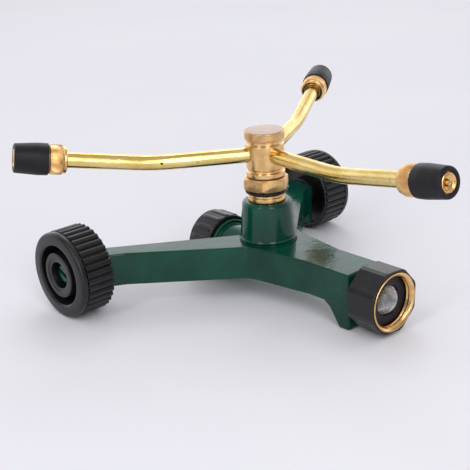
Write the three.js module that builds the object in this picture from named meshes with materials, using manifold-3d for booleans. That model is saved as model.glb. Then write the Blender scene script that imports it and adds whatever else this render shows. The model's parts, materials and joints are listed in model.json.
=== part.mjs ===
// A three-arm rotary lawn sprinkler on a wheeled cast base, in millimetres with +Z up.
// The hose inlet points along -Y, the capped outlet along +Y, and the wheels roll about X.
import * as THREE from "three";
import { mergeVertices } from "three/addons/utils/BufferGeometryUtils.js";
import Module from "manifold-3d";

const wasm = await Module();
wasm.setup();

const degree = Math.PI / 180;

// Clearances between pieces.
const fitGap = 0.3; // between two pieces that seat on each other
const runningGap = 0.35; // between two pieces that turn on each other

// Shared by many pieces.
const overlap = 1; // how far a cutting tool runs past a face, or one joined solid into another
const edgeBreak = 0.4; // on turned edges

// Base casting.
const armTop = 30.5;
const armUnderside = 12.3;
const edgeRound = 0.9; // along the top and bottom edges
const cornerRound = 1.4; // at upright corners, seen from above
const inletArmFillet = 20; // where the inlet arm starts to widen
const rootFillet = 8; // where the arms meet
const wheelArmFillet = 6;
const padFillet = 4; // where a wheel arm meets its axle pad
const padBlendFront = 7; // from the pad's back to the front fillet
const padBlendRear = 5;
const padInset = 1; // of the pad's lower block inside the outline
const padBlockTop = 2; // below the arms' top
const inletArmLength = 69.5; // rotor axis to the arm's front face
const inletArmWidth = 24;
const inletArmRootWidth = 34;
const inletArmRootY = -10;
const inletArmTaperY = -42;
const wheelArmAngle = 37.5; // from the X axis, towards +Y
const wheelArmWidth = 10.4;
const wheelArmRootWidth = 19;
const wheelArmRootX = 19.2;
const casingWall = 2.6;
const footLength = 7.1; // sole of the foot, along Y
const footSlope = 6.4;
const footShoulder = 5.5;
const footShoulderDrop = 3;
const footShoulderRound = 2;
const footInset = 0.5; // of each side of the foot inside the arm
const footBlockTop = 6; // below the arms' top
const pocketRoof = 3.6; // left over the hollow under a wheel arm
const pocketPedestalGap = 5;
const pocketPadGap = 2;
const pocketRound = 2;
const waterPassageRadius = 3.5;
const passageEnd = 20; // behind the rotor axis, where the passage opens into the spigot
const riserRadius = 5.8;

// Pedestal.
const pedestalTop = 52.2;
const pedestalTopRadius = 13.3;
const pedestalFootRadius = 15.3;
const pedestalBeadRadius = 15.7;
const pedestalBeadHeight = 1.6;
const pedestalBeadLand = 0.6;
const pedestalSkirt = 1.2; // wider inside the arms
const pedestalSkirtDrop = 1; // below the arms' top
const pedestalShoulder = 1.6;
const pedestalBoreDepth = 14;
const bushRadius = 8.6;

// Wheels and axles.
const wheelRadius = 23.5;
const wheelWidth = 20.7;
const wheelTrack = 201.4; // over the outer faces
const axleY = 55.8; // behind the rotor axis
const axleRadius = 5;
const axlePadWidth = 24;
const axlePadThickness = 4.4;
const axlePadBottom = 6.5;
const axleHeadRadius = 6.1;
const axleHeadLength = 4.4;
const axleHeadLand = 1.2;
const axleBossRadius = 7.6;
const axleSlot = 2.2;
const axleSlotTurn = 25;
const ridgeCount = 36;
const ridgeDepth = 0.95;
const ridgeTipShare = 0.42; // of a ridge's spacing
const ridgeFootShare = 0.66;
const ridgeRoot = 0.3; // the ridges' foot, below the round face they stand on
const treadShoulder = 4;
const treadStart = 0.5; // from the inner face
const treadDrop = 0.2; // of the smooth outer band below the ridges
const rimWall = 3;
const rimEdge = 1.2; // bevel on the outer edge
const wheelTaper = 0.3; // of the moulded walls
const wheelBossRadius = 9;
const hubRingRadius = 12.2;
const grooveRadius = 16.4;
const grooveDepth = 11;
const wheelBoreDepth = 12.4; // where the axle's head bears, from the inner face
const wheelRecessDepth = 6;
const counterboreRadius = 7.2;

// Hose line: inlet nut, tailpiece and outlet spigot share one axis.
const threadRadius = 13.4; // outside of a 3/4 inch garden hose thread
const threadDepth = 0.8;
const threadPitch = 2.21;
const nutRadius = 15.25;
const nutLength = 17;
const nutLip = 4.9;
const nutThreadLead = 0.6;
const gripCornerRadius = nutRadius + 2.25;
const gripCornerChamfer = 3;
const gripSides = 8;
const gripTurn = 19;
const gripSetback = 0.5; // behind the nut's front face
const hoseAxisHeight = gripCornerRadius + 0.4; // the grip just clears the ground
const neckRadius = 12;
const neckLength = 2.7;
const tailpieceRadius = 8;
const tailpieceBore = 5.2;
const tailpieceDepth = 10.7; // inside the arm
const flangeRadius = 12.3;
const flangeThickness = 4.4;
const washerThickness = 2.8;
const washerBore = 7.8;
const filterRadius = 7.5;
const filterDome = 4.4;
const filterWall = 0.5;
const filterSeat = 0.6; // in front of the washer's back face
const filterRim = 1;

const spigotRoot = 8; // inside the pedestal, from the rotor axis
const spigotRadius = 12.6;
const spigotBore = 9.5;
const spigotEnd = 44.5; // behind the rotor axis
const collarRadius = 14.8;
const collarThickness = 2.2;
const spigotThreadLead = 1.2;
const capMouth = 33;
const capEnd = 50.1;
const capRadius = 16.9;
const capWall = 3;
const capRibCount = 16;
const capRibHeight = 0.6;
const capRibWidth = 2;
const capRibTipShare = 0.7; // of the rib's width, at its tip
const capRibStart = 0.8; // from the mouth
const capRibStop = 1.4; // from the closed end
const capEdge = 1; // bevel round the closed end
const capSealThickness = 2;

// Bearing stack on the pedestal.
const bushCollarRadius = 10.1;
const bushCollarHeight = 3.9;
const bushFlangeHeight = 2.5; // the wider ring at the foot of the collar
const bushGrooveHeight = 0.3;
const bushGrooveDepth = 0.7;
const bushCollarStep = 0.3; // between the wider ring and the one above the groove
const bushBore = 6.8;
const glandShankRadius = 6.5;
const glandShankLength = 15;
const hexCorners = 25.6;
const hexHeight = 6.6;
const hexTurn = 38; // degrees from the X axis to a corner
const hexLowerChamfer = 0.8;
const hexUpperChamfer = 1.5;
const hexFaceStep = 0.3; // between the chamfer's circle and the flats
const sealHeight = 2;
const sealRadius = 11.4;
const postRadius = 4.7;
const postBore = 3.2;
const portRadius = 1.8;
const thrustWasherHeight = 0.7;
const screwHeadRadius = 6.2;
const screwHeadHeight = 2;
const screwHeadChamfer = 1.2;
const screwShankLength = 3.2;
const screwSlotWidth = 1.2;
const screwSlotDepth = 1.1;

// Rotor.
const hubRadius = 10.2;
const hubHeight = 19.5;
const hubSkirt = 0.7;
const hubFlangeHeight = 2.5; // the wider ring at the foot of the hub
const hubFlangeStep = 0.2;
const hubGrooveHeight = 1.9; // above the flange
const hubGrooveDepth = 0.8;
const hubNeckHeight = 2; // under the cap
const hubNeckDepth = 0.9;
const hubSocketDepth = 1.5; // how far a socket for a tube runs into the chamber
const hubChamberRadius = 7.4;
const hubChamberHeight = 7.4;
const hubRecessRadius = 8.4;
const hubRecessDepth = 1.8;
const hubCapRadius = 10.7;
const hubCapHeight = 4.8;
const hubCapSpigotRadius = 8.1;
const hubCapEdge = 0.5; // bevel round the top
const screwPocketGap = 0.7; // round and over the screw's head
const armHeight = 77.7; // the arms' centre lines meet the rotor axis here
const armAzimuths = [151, 263, 29]; // the three arms are not quite a third of a turn apart

// Arm tubes: two straight runs and a bend between them.
const tubeRadius = 4.05;
const tubeBore = 3.25;
const innerRun = 59.5;
const innerRise = 1.3;
const outerRun = 45.5; // bend to the back of the nozzle
const outerRise = 9.6;
const outerSweep = 3.2;
const bendTangent = 9; // length of each straight that the bend takes up
const jetRadius = 0.7;
const jetSetback = 3.5; // from the bend towards the hub
const jetRaise = 0.6; // above the tube's centre line
const tubeStart = 0.5; // outside the hub's chamber

// Nozzles, measured from the back of the barrel along the tube.
const stemRadius = 5;
const stemLength = 16.6;
const tubeSeat = 8.6;
const stemSetback = 0.4; // in front of the barrel's back
const stemFloor = 2.6; // solid length between the stem's bore and the needle
const stemPortRadius = 1.3;
const stemPortSetback = 1.6; // behind the end of the stem's bore
const needleLength = 9.6;
const needleRootRadius = 1.9;
const needleTipRadius = 0.55;
const barrelBore = 5.65;
const barrelLength = 27;
const shoulderRadius = 6.8;
const shoulderLength = 1.5;
const knurlRadius = 7.6;
const knurlLength = 7.4;
const sleeveSeatRadius = 6.5;
const noseRadius = 4.75;
const noseLength = 1.8;
const orificeRadius = 1.5;
const orificeLength = 0.8;
const flareRadius = 3.4;
const flareLength = 2;
const chamberConeLength = 3.2;
const ringGroove = 2.2;
const ringGrooveStart = 3;
const ringGrooveRadius = 6.45;
const ringThickness = 1.6;
const ringGap = 0.25;
const sleeveBackRadius = 8.2;
const sleeveFrontRadius = 7.45;
const sleeveFrontRound = 1.6;
const sleeveBackEdge = 0.3;
const sleeveOverhang = 0.6; // how far the nose stands out of the sleeve

// Paints and finishes.
const greenEnamel = { color: 0x1c4f42, roughness: 0.22, metalness: 0 };
const brightBrass = { color: 0xd9b26a, roughness: 0.25, metalness: 1 };
const machinedBrass = { color: 0xe0b486, roughness: 0.3, metalness: 1 };
const steel = { color: 0xb9babd, roughness: 0.3, metalness: 1 };
const blackRubber = { color: 0x222224, roughness: 0.6, metalness: 0 };
const blackPlastic = { color: 0x2b2b2e, roughness: 0.45, metalness: 0 };
const whitePolymer = { color: 0xe6e4dc, roughness: 0.5, metalness: 0 };

// Solids.

function toSolid(geometry) {
  const bare = geometry.index ? geometry.toNonIndexed() : geometry.clone();
  bare.deleteAttribute("normal");
  bare.deleteAttribute("uv");
  const merged = mergeVertices(bare, 1e-4);
  return new wasm.Manifold(
    new wasm.Mesh({
      numProp: 3,
      vertProperties: new Float32Array(merged.attributes.position.array),
      triVerts: new Uint32Array(merged.index.array),
    }),
  );
}

function toGeometry(solid) {
  const mesh = solid.getMesh();
  const geometry = new THREE.BufferGeometry();
  geometry.setAttribute("position", new THREE.BufferAttribute(mesh.vertProperties, 3));
  geometry.setIndex(new THREE.BufferAttribute(mesh.triVerts, 1));
  const faceted = geometry.toNonIndexed();
  faceted.computeVertexNormals();
  return faceted;
}

function join(...geometries) {
  return toGeometry(geometries.map(toSolid).reduce((sum, solid) => sum.add(solid)));
}

function cut(body, ...tools) {
  return toGeometry(tools.map(toSolid).reduce((left, tool) => left.subtract(tool), toSolid(body)));
}

function common(first, second) {
  return toGeometry(toSolid(first).intersect(toSolid(second)));
}

// A solid of revolution about Z through [radius, height] points, anticlockwise round the section.
function turned(points, sides = 28) {
  const profile = points.map(([radius, height]) => new THREE.Vector2(radius, height));
  const startsOnAxis = points[0][0] === 0;
  if (!startsOnAxis) {
    profile.push(profile[0].clone());
  }
  return new THREE.LatheGeometry(profile, sides).rotateX(Math.PI / 2);
}

function ring(innerRadius, outerRadius, bottom, top, sides = 24) {
  const section = [
    [innerRadius, bottom],
    [outerRadius, bottom],
    [outerRadius, top],
    [innerRadius, top],
  ];
  return turned(section, sides);
}

function rod(radius, bottom, top, sides = 24) {
  const section = [
    [0, bottom],
    [radius, bottom],
    [radius, top],
    [0, top],
  ];
  return turned(section, sides);
}

// Points of a quarter round from one direction to another, for a lathe section.
function arcPoints(centreRadius, centreHeight, radius, from, to, steps) {
  const points = [];
  for (let step = 0; step <= steps; step += 1) {
    const angle = (from + ((to - from) * step) / steps) * degree;
    points.push([centreRadius + radius * Math.cos(angle), centreHeight + radius * Math.sin(angle)]);
  }
  return points;
}

// A box from its two opposite corners.
function block(low, high) {
  const size = high.map((value, axis) => value - low[axis]);
  const middle = high.map((value, axis) => (value + low[axis]) / 2);
  return new THREE.BoxGeometry(...size).translate(...middle);
}

// A closed outline whose corners, given as [x, y, fillet radius], are rounded by arcs.
function roundedOutline(corners, steps = 3) {
  const outline = [];
  corners.forEach(([x, y, radius], index) => {
    const corner = new THREE.Vector2(x, y);
    if (!radius) {
      outline.push(corner);
      return;
    }
    const [beforeX, beforeY] = corners[(index + corners.length - 1) % corners.length];
    const [afterX, afterY] = corners[(index + 1) % corners.length];
    const toBefore = new THREE.Vector2(beforeX, beforeY).sub(corner).normalize();
    const toAfter = new THREE.Vector2(afterX, afterY).sub(corner).normalize();
    const halfAngle = Math.acos(THREE.MathUtils.clamp(toBefore.dot(toAfter), -1, 1)) / 2;
    const middle = toBefore.clone().add(toAfter).normalize();
    const centre = corner.clone().addScaledVector(middle, radius / Math.sin(halfAngle));
    const tangent = radius / Math.tan(halfAngle);
    const start = corner.clone().addScaledVector(toBefore, tangent).sub(centre);
    const end = corner.clone().addScaledVector(toAfter, tangent).sub(centre);
    const turn = Math.atan2(start.cross(end), start.dot(end));
    for (let step = 0; step <= steps; step += 1) {
      const spoke = start.clone().rotateAround(new THREE.Vector2(), (turn * step) / steps);
      outline.push(centre.clone().add(spoke));
    }
  });
  return new THREE.Shape(outline);
}

// A ridged circle: flat-topped ridges of a given share of their spacing.
function ridgedOutline(tipRadius, depth, count, tipShare, footShare) {
  const points = [];
  for (let ridge = 0; ridge < count; ridge += 1) {
    const middle = (ridge / count) * 2 * Math.PI;
    const spacing = (2 * Math.PI) / count;
    const corners = [
      [-footShare, tipRadius - depth],
      [-tipShare, tipRadius],
      [tipShare, tipRadius],
      [footShare, tipRadius - depth],
    ];
    corners.forEach(([share, radius]) => {
      const angle = middle + (share * spacing) / 2;
      points.push(new THREE.Vector2(radius * Math.cos(angle), radius * Math.sin(angle)));
    });
  }
  return new THREE.Shape(points);
}

function circlePath(radius, sides = 24) {
  const points = [];
  for (let side = 0; side < sides; side += 1) {
    const angle = (-side / sides) * 2 * Math.PI;
    points.push(new THREE.Vector2(radius * Math.cos(angle), radius * Math.sin(angle)));
  }
  return new THREE.Path(points);
}

function prism(shape, bottom, top) {
  const settings = { depth: top - bottom, bevelEnabled: false, curveSegments: 8 };
  return new THREE.ExtrudeGeometry(shape, settings).translate(0, 0, bottom);
}

// A prism with its top and bottom edges broken by a small bevel inside the outline.
function softPrism(shape, bottom, top, bevel, segments = 1) {
  const settings = {
    depth: top - bottom - 2 * bevel,
    bevelEnabled: true,
    bevelThickness: bevel,
    bevelSize: bevel,
    bevelOffset: -bevel,
    bevelSegments: segments,
    curveSegments: 8,
  };
  return new THREE.ExtrudeGeometry(shape, settings).translate(0, 0, bottom + bevel);
}

// Turns a piece made along +Z so that it points along -Y or +Y, or along +X or -X.
function alongMinusY(geometry) {
  return geometry.rotateX(Math.PI / 2);
}

function alongPlusY(geometry) {
  return geometry.rotateX(-Math.PI / 2);
}

function alongX(geometry, side) {
  return geometry.rotateY((side * Math.PI) / 2);
}

// Scene graph.

const sprinkler = new THREE.Group();

function addPiece(parent, name, geometry, finish) {
  const mesh = new THREE.Mesh(geometry, new THREE.MeshStandardMaterial(finish));
  mesh.name = name;
  parent.add(mesh);
  return mesh;
}

// Directions and distances along an arm, in the arm's own frame with X outward.
const innerDirection = new THREE.Vector3(Math.cos(innerRise * degree), 0, Math.sin(innerRise * degree));
const outerDirection = new THREE.Vector3(
  Math.cos(outerRise * degree) * Math.cos(outerSweep * degree),
  Math.cos(outerRise * degree) * Math.sin(outerSweep * degree),
  Math.sin(outerRise * degree),
);
const bendPoint = innerDirection.clone().multiplyScalar(innerRun);
const nozzleBack = bendPoint.clone().addScaledVector(outerDirection, outerRun);
const nozzleTip = nozzleBack.clone().addScaledVector(outerDirection, barrelLength);
const armReach = Math.hypot(nozzleTip.x, nozzleTip.y);

// Base casting: an inlet arm, two wheel arms, a pedestal and an outlet spigot in one piece.

const wheelFace = wheelTrack / 2 - wheelWidth; // inner face of a wheel, from the middle
const axlePadFace = wheelFace - 2 * runningGap;
const axlePadBack = axlePadFace - axlePadThickness;
const footBack = inletArmLength - footLength;

// Middle line and half width of the right wheel arm, measured along Y at a given X.
function wheelArmMiddle(x) {
  return axleY - (axlePadFace - x) * Math.tan(wheelArmAngle * degree);
}

function wheelArmHalf(x) {
  const share = THREE.MathUtils.inverseLerp(wheelArmRootX, axlePadBack, x);
  const width = THREE.MathUtils.lerp(wheelArmRootWidth, wheelArmWidth, share);
  return width / 2 / Math.cos(wheelArmAngle * degree);
}

function basePlan() {
  const padFront = axleY - axlePadWidth / 2;
  const padRear = axleY + axlePadWidth / 2;
  const frontCurveX = axlePadBack - padBlendFront;
  const rearCurveX = axlePadBack - padBlendRear;
  const rightSide = [
    [inletArmWidth / 2, -inletArmLength, cornerRound],
    [inletArmWidth / 2, inletArmTaperY, inletArmFillet],
    [inletArmRootWidth / 2, inletArmRootY, rootFillet],
    [wheelArmRootX, wheelArmMiddle(wheelArmRootX) - wheelArmHalf(wheelArmRootX), wheelArmFillet],
    [frontCurveX, wheelArmMiddle(frontCurveX) - wheelArmHalf(frontCurveX), padFillet],
    [axlePadBack, padFront, cornerRound],
    [axlePadFace, padFront, cornerRound],
    [axlePadFace, padRear, cornerRound],
    [axlePadBack, padRear, cornerRound],
    [rearCurveX, wheelArmMiddle(rearCurveX) + wheelArmHalf(rearCurveX), padFillet],
  ];
  const leftSide = rightSide.map(([x, y, radius]) => [-x, y, radius]).reverse();
  const rearCrotch = [0, wheelArmMiddle(0) + wheelArmHalf(0), rootFillet];
  return roundedOutline([...rightSide, rearCrotch, ...leftSide]);
}

function footBlock() {
  const blockTop = armTop - footBlockTop;
  const blockBack = -footBack + footSlope + footShoulder;
  const corners = [
    [-inletArmLength, blockTop, 0],
    [-inletArmLength, 0, cornerRound],
    [-footBack, 0, cornerRound],
    [-footBack + footSlope, armUnderside - footShoulderDrop, footShoulderRound],
    [blockBack, armUnderside + overlap, 0],
    [blockBack, blockTop, 0],
  ];
  const side = roundedOutline(corners, 3);
  const width = inletArmWidth - 2 * footInset;
  const foot = softPrism(side, -width / 2, width / 2, edgeRound);
  // The outline is drawn in (Y, Z) and extruded along X.
  return foot.rotateX(Math.PI / 2).rotateZ(Math.PI / 2);
}

function pedestalBody() {
  const bead = armTop + pedestalBeadHeight;
  const shoulder = pedestalTopRadius - pedestalShoulder;
  const roundTop = arcPoints(shoulder, pedestalTop - pedestalShoulder, pedestalShoulder, 0, 90, 3);
  return turned(
    [
      [0, armUnderside],
      [pedestalFootRadius + pedestalSkirt, armUnderside],
      [pedestalFootRadius + pedestalSkirt, armTop - 2 * pedestalSkirtDrop],
      [pedestalFootRadius, armTop - pedestalSkirtDrop],
      [pedestalFootRadius, bead - pedestalBeadLand - edgeBreak],
      [pedestalBeadRadius, bead - pedestalBeadLand],
      [pedestalBeadRadius, bead],
      [pedestalFootRadius, bead + edgeBreak],
      ...roundTop,
      [0, pedestalTop],
    ],
    32,
  );
}

function outletSpigot() {
  const collarBack = capMouth - fitGap - collarThickness;
  const collarFront = capMouth - fitGap;
  const threadRoot = threadRadius - threadDepth;
  const section = [
    [0, spigotRoot],
    [spigotRadius, spigotRoot],
    [spigotRadius, collarBack],
    [collarRadius, collarBack],
    [collarRadius, collarFront],
    [threadRoot, collarFront],
  ];
  const firstThread = capMouth + spigotThreadLead;
  for (let start = firstThread; start + threadPitch < spigotEnd; start += threadPitch) {
    section.push([threadRoot, start]);
    section.push([threadRadius, start + 0.5 * threadPitch]);
  }
  section.push([threadRoot, spigotEnd - edgeBreak]);
  section.push([threadRoot - edgeBreak, spigotEnd]);
  section.push([0, spigotEnd]);
  return alongPlusY(turned(section)).translate(0, 0, hoseAxisHeight);
}

function axleStub(side) {
  const bearing = wheelFace + wheelBoreDepth + runningGap;
  const head = bearing + axleHeadLength;
  const section = [
    [0, axlePadFace - overlap],
    [axleBossRadius, axlePadFace - overlap],
    [axleBossRadius, wheelFace - runningGap],
    [axleRadius, wheelFace - runningGap],
    [axleRadius, bearing],
    [axleHeadRadius, bearing],
    [axleHeadRadius, bearing + axleHeadLand],
    [axleRadius - edgeBreak, head],
    [0, head],
  ];
  const stub = alongX(turned(section, 20), side);
  const slotStart = side * (wheelFace + wheelRecessDepth);
  const slotEnd = side * (head + overlap);
  const slot = block(
    [Math.min(slotStart, slotEnd), -axleSlot / 2, -axleHeadRadius - overlap],
    [Math.max(slotStart, slotEnd), axleSlot / 2, axleHeadRadius + overlap],
  );
  return cut(stub, slot.rotateX(axleSlotTurn * degree)).translate(0, axleY, wheelRadius);
}

// The hollow under a wheel arm, which leaves an even wall round it.
function wheelArmPocket(side) {
  const wall = casingWall / Math.cos(wheelArmAngle * degree);
  const start = pedestalFootRadius + pocketPedestalGap;
  const end = axlePadBack - casingWall - pocketPadGap;
  const corners = [
    [start, wheelArmMiddle(start) - wheelArmHalf(start) + wall, pocketRound],
    [end, wheelArmMiddle(end) - wheelArmHalf(end) + wall, pocketRound / 2],
    [end, wheelArmMiddle(end) + wheelArmHalf(end) - wall, pocketRound / 2],
    [start, wheelArmMiddle(start) + wheelArmHalf(start) - wall, pocketRound],
  ];
  const outline = side > 0 ? corners : corners.map(([x, y, radius]) => [-x, y, radius]).reverse();
  return prism(roundedOutline(outline, 2), armUnderside - overlap, armTop - pocketRoof);
}

function baseCasting() {
  const arms = softPrism(basePlan(), armUnderside, armTop, edgeRound);
  const padHalf = axlePadWidth / 2 - padInset;
  const padLow = [axlePadBack, axleY - padHalf, axlePadBottom];
  const padHigh = [axlePadFace, axleY + padHalf, armTop - padBlockTop];
  const rightPad = block(padLow, padHigh);
  const leftPad = block([-padHigh[0], padLow[1], padLow[2]], [-padLow[0], padHigh[1], padHigh[2]]);
  const neck = alongMinusY(rod(neckRadius, inletArmLength - overlap, inletArmLength + neckLength, 28));
  neck.translate(0, 0, hoseAxisHeight);
  const body = join(
    arms,
    footBlock(),
    pedestalBody(),
    outletSpigot(),
    rightPad,
    leftPad,
    axleStub(1),
    axleStub(-1),
    neck,
  );
  const seatDepth = inletArmLength - tailpieceDepth - fitGap;
  const tailpieceSeat = alongMinusY(
    rod(tailpieceRadius + fitGap, seatDepth, inletArmLength + neckLength + overlap),
  );
  const passage = alongMinusY(rod(waterPassageRadius, -passageEnd, seatDepth + overlap, 16));
  const outletBore = alongPlusY(rod(spigotBore, passageEnd, spigotEnd + overlap));
  const tools = [tailpieceSeat, passage, outletBore].map((tool) => tool.translate(0, 0, hoseAxisHeight));
  const bushSeatBottom = pedestalTop - pedestalBoreDepth - fitGap;
  const bushSeat = rod(bushRadius + fitGap, bushSeatBottom, pedestalTop + overlap);
  const riser = rod(riserRadius, hoseAxisHeight - overlap, pedestalTop, 20);
  return cut(body, ...tools, bushSeat, riser, wheelArmPocket(1), wheelArmPocket(-1));
}

// Inlet: a tailpiece in the arm carries the swivel nut, its grip, the washer and the filter.

const nutBack = inletArmLength + neckLength + fitGap;
const nutFront = nutBack + nutLength;
const flangeBack = nutBack + nutLip + runningGap;
const flangeFront = flangeBack + flangeThickness;
const washerBack = flangeFront + fitGap;
const washerFront = washerBack + washerThickness;
const nutBore = threadRadius + fitGap;

function inletTailpiece() {
  const back = inletArmLength - tailpieceDepth;
  return turned(
    [
      [tailpieceBore, back],
      [tailpieceRadius, back],
      [tailpieceRadius, flangeBack],
      [flangeRadius, flangeBack],
      [flangeRadius, flangeFront],
      [tailpieceBore, flangeFront],
    ],
    24,
  );
}

function inletNut() {
  const section = [
    [tailpieceRadius + runningGap, nutBack],
    [nutRadius, nutBack],
    [nutRadius, nutFront - edgeBreak],
    [nutRadius - edgeBreak, nutFront],
    [nutBore + edgeBreak, nutFront],
  ];
  const firstThread = nutFront - nutThreadLead;
  for (let start = firstThread; start - threadPitch > washerFront; start -= threadPitch) {
    section.push([nutBore, start]);
    section.push([nutBore - threadDepth, start - 0.5 * threadPitch]);
  }
  section.push([nutBore, washerFront]);
  section.push([nutBore, flangeBack - runningGap]);
  section.push([tailpieceRadius + runningGap, flangeBack - runningGap]);
  return turned(section);
}

function inletGrip() {
  const corners = [];
  for (let side = 0; side < gripSides; side += 1) {
    const angle = (gripTurn + (side * 360) / gripSides) * degree;
    const x = gripCornerRadius * Math.cos(angle);
    const y = gripCornerRadius * Math.sin(angle);
    corners.push([x, y, gripCornerChamfer]);
  }
  const outline = roundedOutline(corners, 1);
  outline.holes.push(circlePath(nutRadius + fitGap, 28));
  return prism(outline, nutBack, nutFront - gripSetback);
}

function inletFilter() {
  const rim = washerBack + filterSeat;
  const sphere = (filterRadius * filterRadius + filterDome * filterDome) / (2 * filterDome);
  const centre = rim + filterRim + filterDome - sphere;
  const halfAngle = Math.asin(filterRadius / sphere) / degree;
  const outer = arcPoints(0, centre, sphere, 90 - halfAngle, 90, 4);
  const inner = arcPoints(0, centre, sphere - filterWall, 90, 90 - halfAngle, 4);
  outer[outer.length - 1][0] = 0;
  inner[0][0] = 0;
  const innerEdge = inner[inner.length - 1];
  const section = [...inner, [innerEdge[0], rim], [filterRadius, rim], ...outer];
  return turned(section, 20);
}

// Outlet cap and its seal, turned on the spigot.

const capFloor = capEnd - capWall;

function outletCap() {
  const bore = threadRadius + fitGap;
  const cup = turned(
    [
      [0, capFloor],
      [bore, capFloor],
      [bore, capMouth],
      [capRadius, capMouth],
      [capRadius, capEnd - capEdge],
      [capRadius - capEdge, capEnd],
      [0, capEnd],
    ],
    28,
  );
  const tip = capRadius + capRibHeight;
  const ribShare = (capRibWidth * capRibCount) / (2 * Math.PI * tip);
  const tipShare = ribShare * capRibTipShare;
  const outline = ridgedOutline(tip, 1.5 * capRibHeight, capRibCount, tipShare, ribShare);
  outline.holes.push(circlePath(capRadius - capWall / 2, 28));
  const ribs = prism(outline, capMouth + capRibStart, capEnd - capRibStop);
  return join(cup, ribs);
}

// Wheels: a ridged tread round a web, with a hub ring that the axle's head holds.

function wheel() {
  const ridgeFoot = wheelRadius - ridgeDepth;
  const rimInside = wheelRadius - rimWall;
  const outerEdge = wheelRadius - treadDrop;
  const body = turned(
    [
      [axleRadius + runningGap, 0],
      [wheelBossRadius, 0],
      [wheelBossRadius + wheelTaper, wheelRecessDepth],
      [rimInside - wheelTaper, wheelRecessDepth],
      [rimInside, 0],
      [ridgeFoot, 0],
      [ridgeFoot, wheelWidth - treadShoulder],
      [outerEdge, wheelWidth - treadShoulder],
      [outerEdge, wheelWidth - rimEdge],
      [outerEdge - rimEdge, wheelWidth],
      [grooveRadius, wheelWidth],
      [grooveRadius - wheelTaper, wheelWidth - grooveDepth],
      [hubRingRadius + wheelTaper, wheelWidth - grooveDepth],
      [hubRingRadius, wheelWidth - edgeBreak],
      [counterboreRadius, wheelWidth - edgeBreak],
      [counterboreRadius, wheelBoreDepth],
      [axleRadius + runningGap, wheelBoreDepth],
    ],
    36,
  );
  const depth = ridgeDepth + ridgeRoot;
  const outline = ridgedOutline(wheelRadius, depth, ridgeCount, ridgeTipShare, ridgeFootShare);
  outline.holes.push(circlePath((ridgeFoot + rimInside) / 2, 36));
  const tread = prism(outline, treadStart, wheelWidth - treadShoulder + overlap);
  return join(body, tread);
}

// Bearing stack: bush, seal, gland nut, post, thrust washers and the screw that holds the hub down.

const collarTop = pedestalTop + fitGap + bushCollarHeight;
const hexBottom = collarTop + fitGap + sealHeight + fitGap;
const hexTop = hexBottom + hexHeight;
const hubFloor = hexTop + 2 * fitGap + thrustWasherHeight;
const hubBottom = hubFloor - hubSkirt;
const hubTop = hubBottom + hubHeight;
const hubShelf = hubTop - hubRecessDepth;
const postTop = hubShelf + fitGap + thrustWasherHeight;
const hubBore = postRadius + runningGap;

function pedestalBush() {
  const collarBottom = pedestalTop + fitGap;
  const flangeTop = collarBottom + bushFlangeHeight;
  const upperRadius = bushCollarRadius - bushCollarStep;
  return turned(
    [
      [bushBore, pedestalTop - pedestalBoreDepth],
      [bushRadius, pedestalTop - pedestalBoreDepth],
      [bushRadius, collarBottom],
      [bushCollarRadius, collarBottom],
      [bushCollarRadius, flangeTop],
      [bushCollarRadius - bushGrooveDepth, flangeTop],
      [bushCollarRadius - bushGrooveDepth, flangeTop + bushGrooveHeight],
      [upperRadius, flangeTop + bushGrooveHeight],
      [upperRadius, collarTop],
      [bushBore, collarTop],
    ],
    28,
  );
}

function glandNut() {
  const acrossFlats = (hexCorners / 2) * Math.cos(30 * degree);
  const hexagon = new THREE.CylinderGeometry(hexCorners / 2, hexCorners / 2, hexHeight, 6);
  hexagon.rotateX(Math.PI / 2).rotateZ(hexTurn * degree).translate(0, 0, (hexBottom + hexTop) / 2);
  const chamfer = turned(
    [
      [0, hexBottom],
      [acrossFlats + hexFaceStep, hexBottom],
      [hexCorners / 2, hexBottom + hexLowerChamfer],
      [hexCorners / 2, hexTop - hexUpperChamfer],
      [acrossFlats - hexFaceStep, hexTop],
      [0, hexTop],
    ],
    24,
  );
  const shankBottom = hexBottom - glandShankLength;
  const shank = rod(glandShankRadius, shankBottom, hexBottom + overlap, 20);
  const bore = rod(postRadius + fitGap, shankBottom - overlap, hexTop + overlap, 20);
  return cut(join(common(hexagon, chamfer), shank), bore);
}

function bearingPost() {
  const tube = ring(postBore, postRadius, hexBottom - glandShankLength, postTop, 20);
  const port = rod(portRadius, -postRadius - overlap, postRadius + overlap, 10);
  const alongXPort = alongX(port.clone(), 1).translate(0, 0, armHeight);
  const alongYPort = alongPlusY(port.clone()).translate(0, 0, armHeight);
  return cut(tube, alongXPort, alongYPort);
}

function postScrew() {
  const headBottom = postTop + fitGap;
  const headTop = headBottom + screwHeadHeight;
  const screw = turned(
    [
      [0, headBottom - screwShankLength],
      [postBore - fitGap, headBottom - screwShankLength],
      [postBore - fitGap, headBottom],
      [screwHeadRadius, headBottom],
      [screwHeadRadius, headTop - edgeBreak],
      [screwHeadRadius - screwHeadChamfer, headTop],
      [0, headTop],
    ],
    20,
  );
  const slot = block(
    [-screwHeadRadius - overlap, -screwSlotWidth / 2, headTop - screwSlotDepth],
    [screwHeadRadius + overlap, screwSlotWidth / 2, headTop + overlap],
  );
  return cut(screw, slot);
}

// Rotor: hub, cap, three bent tubes and the nozzle on each.

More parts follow.
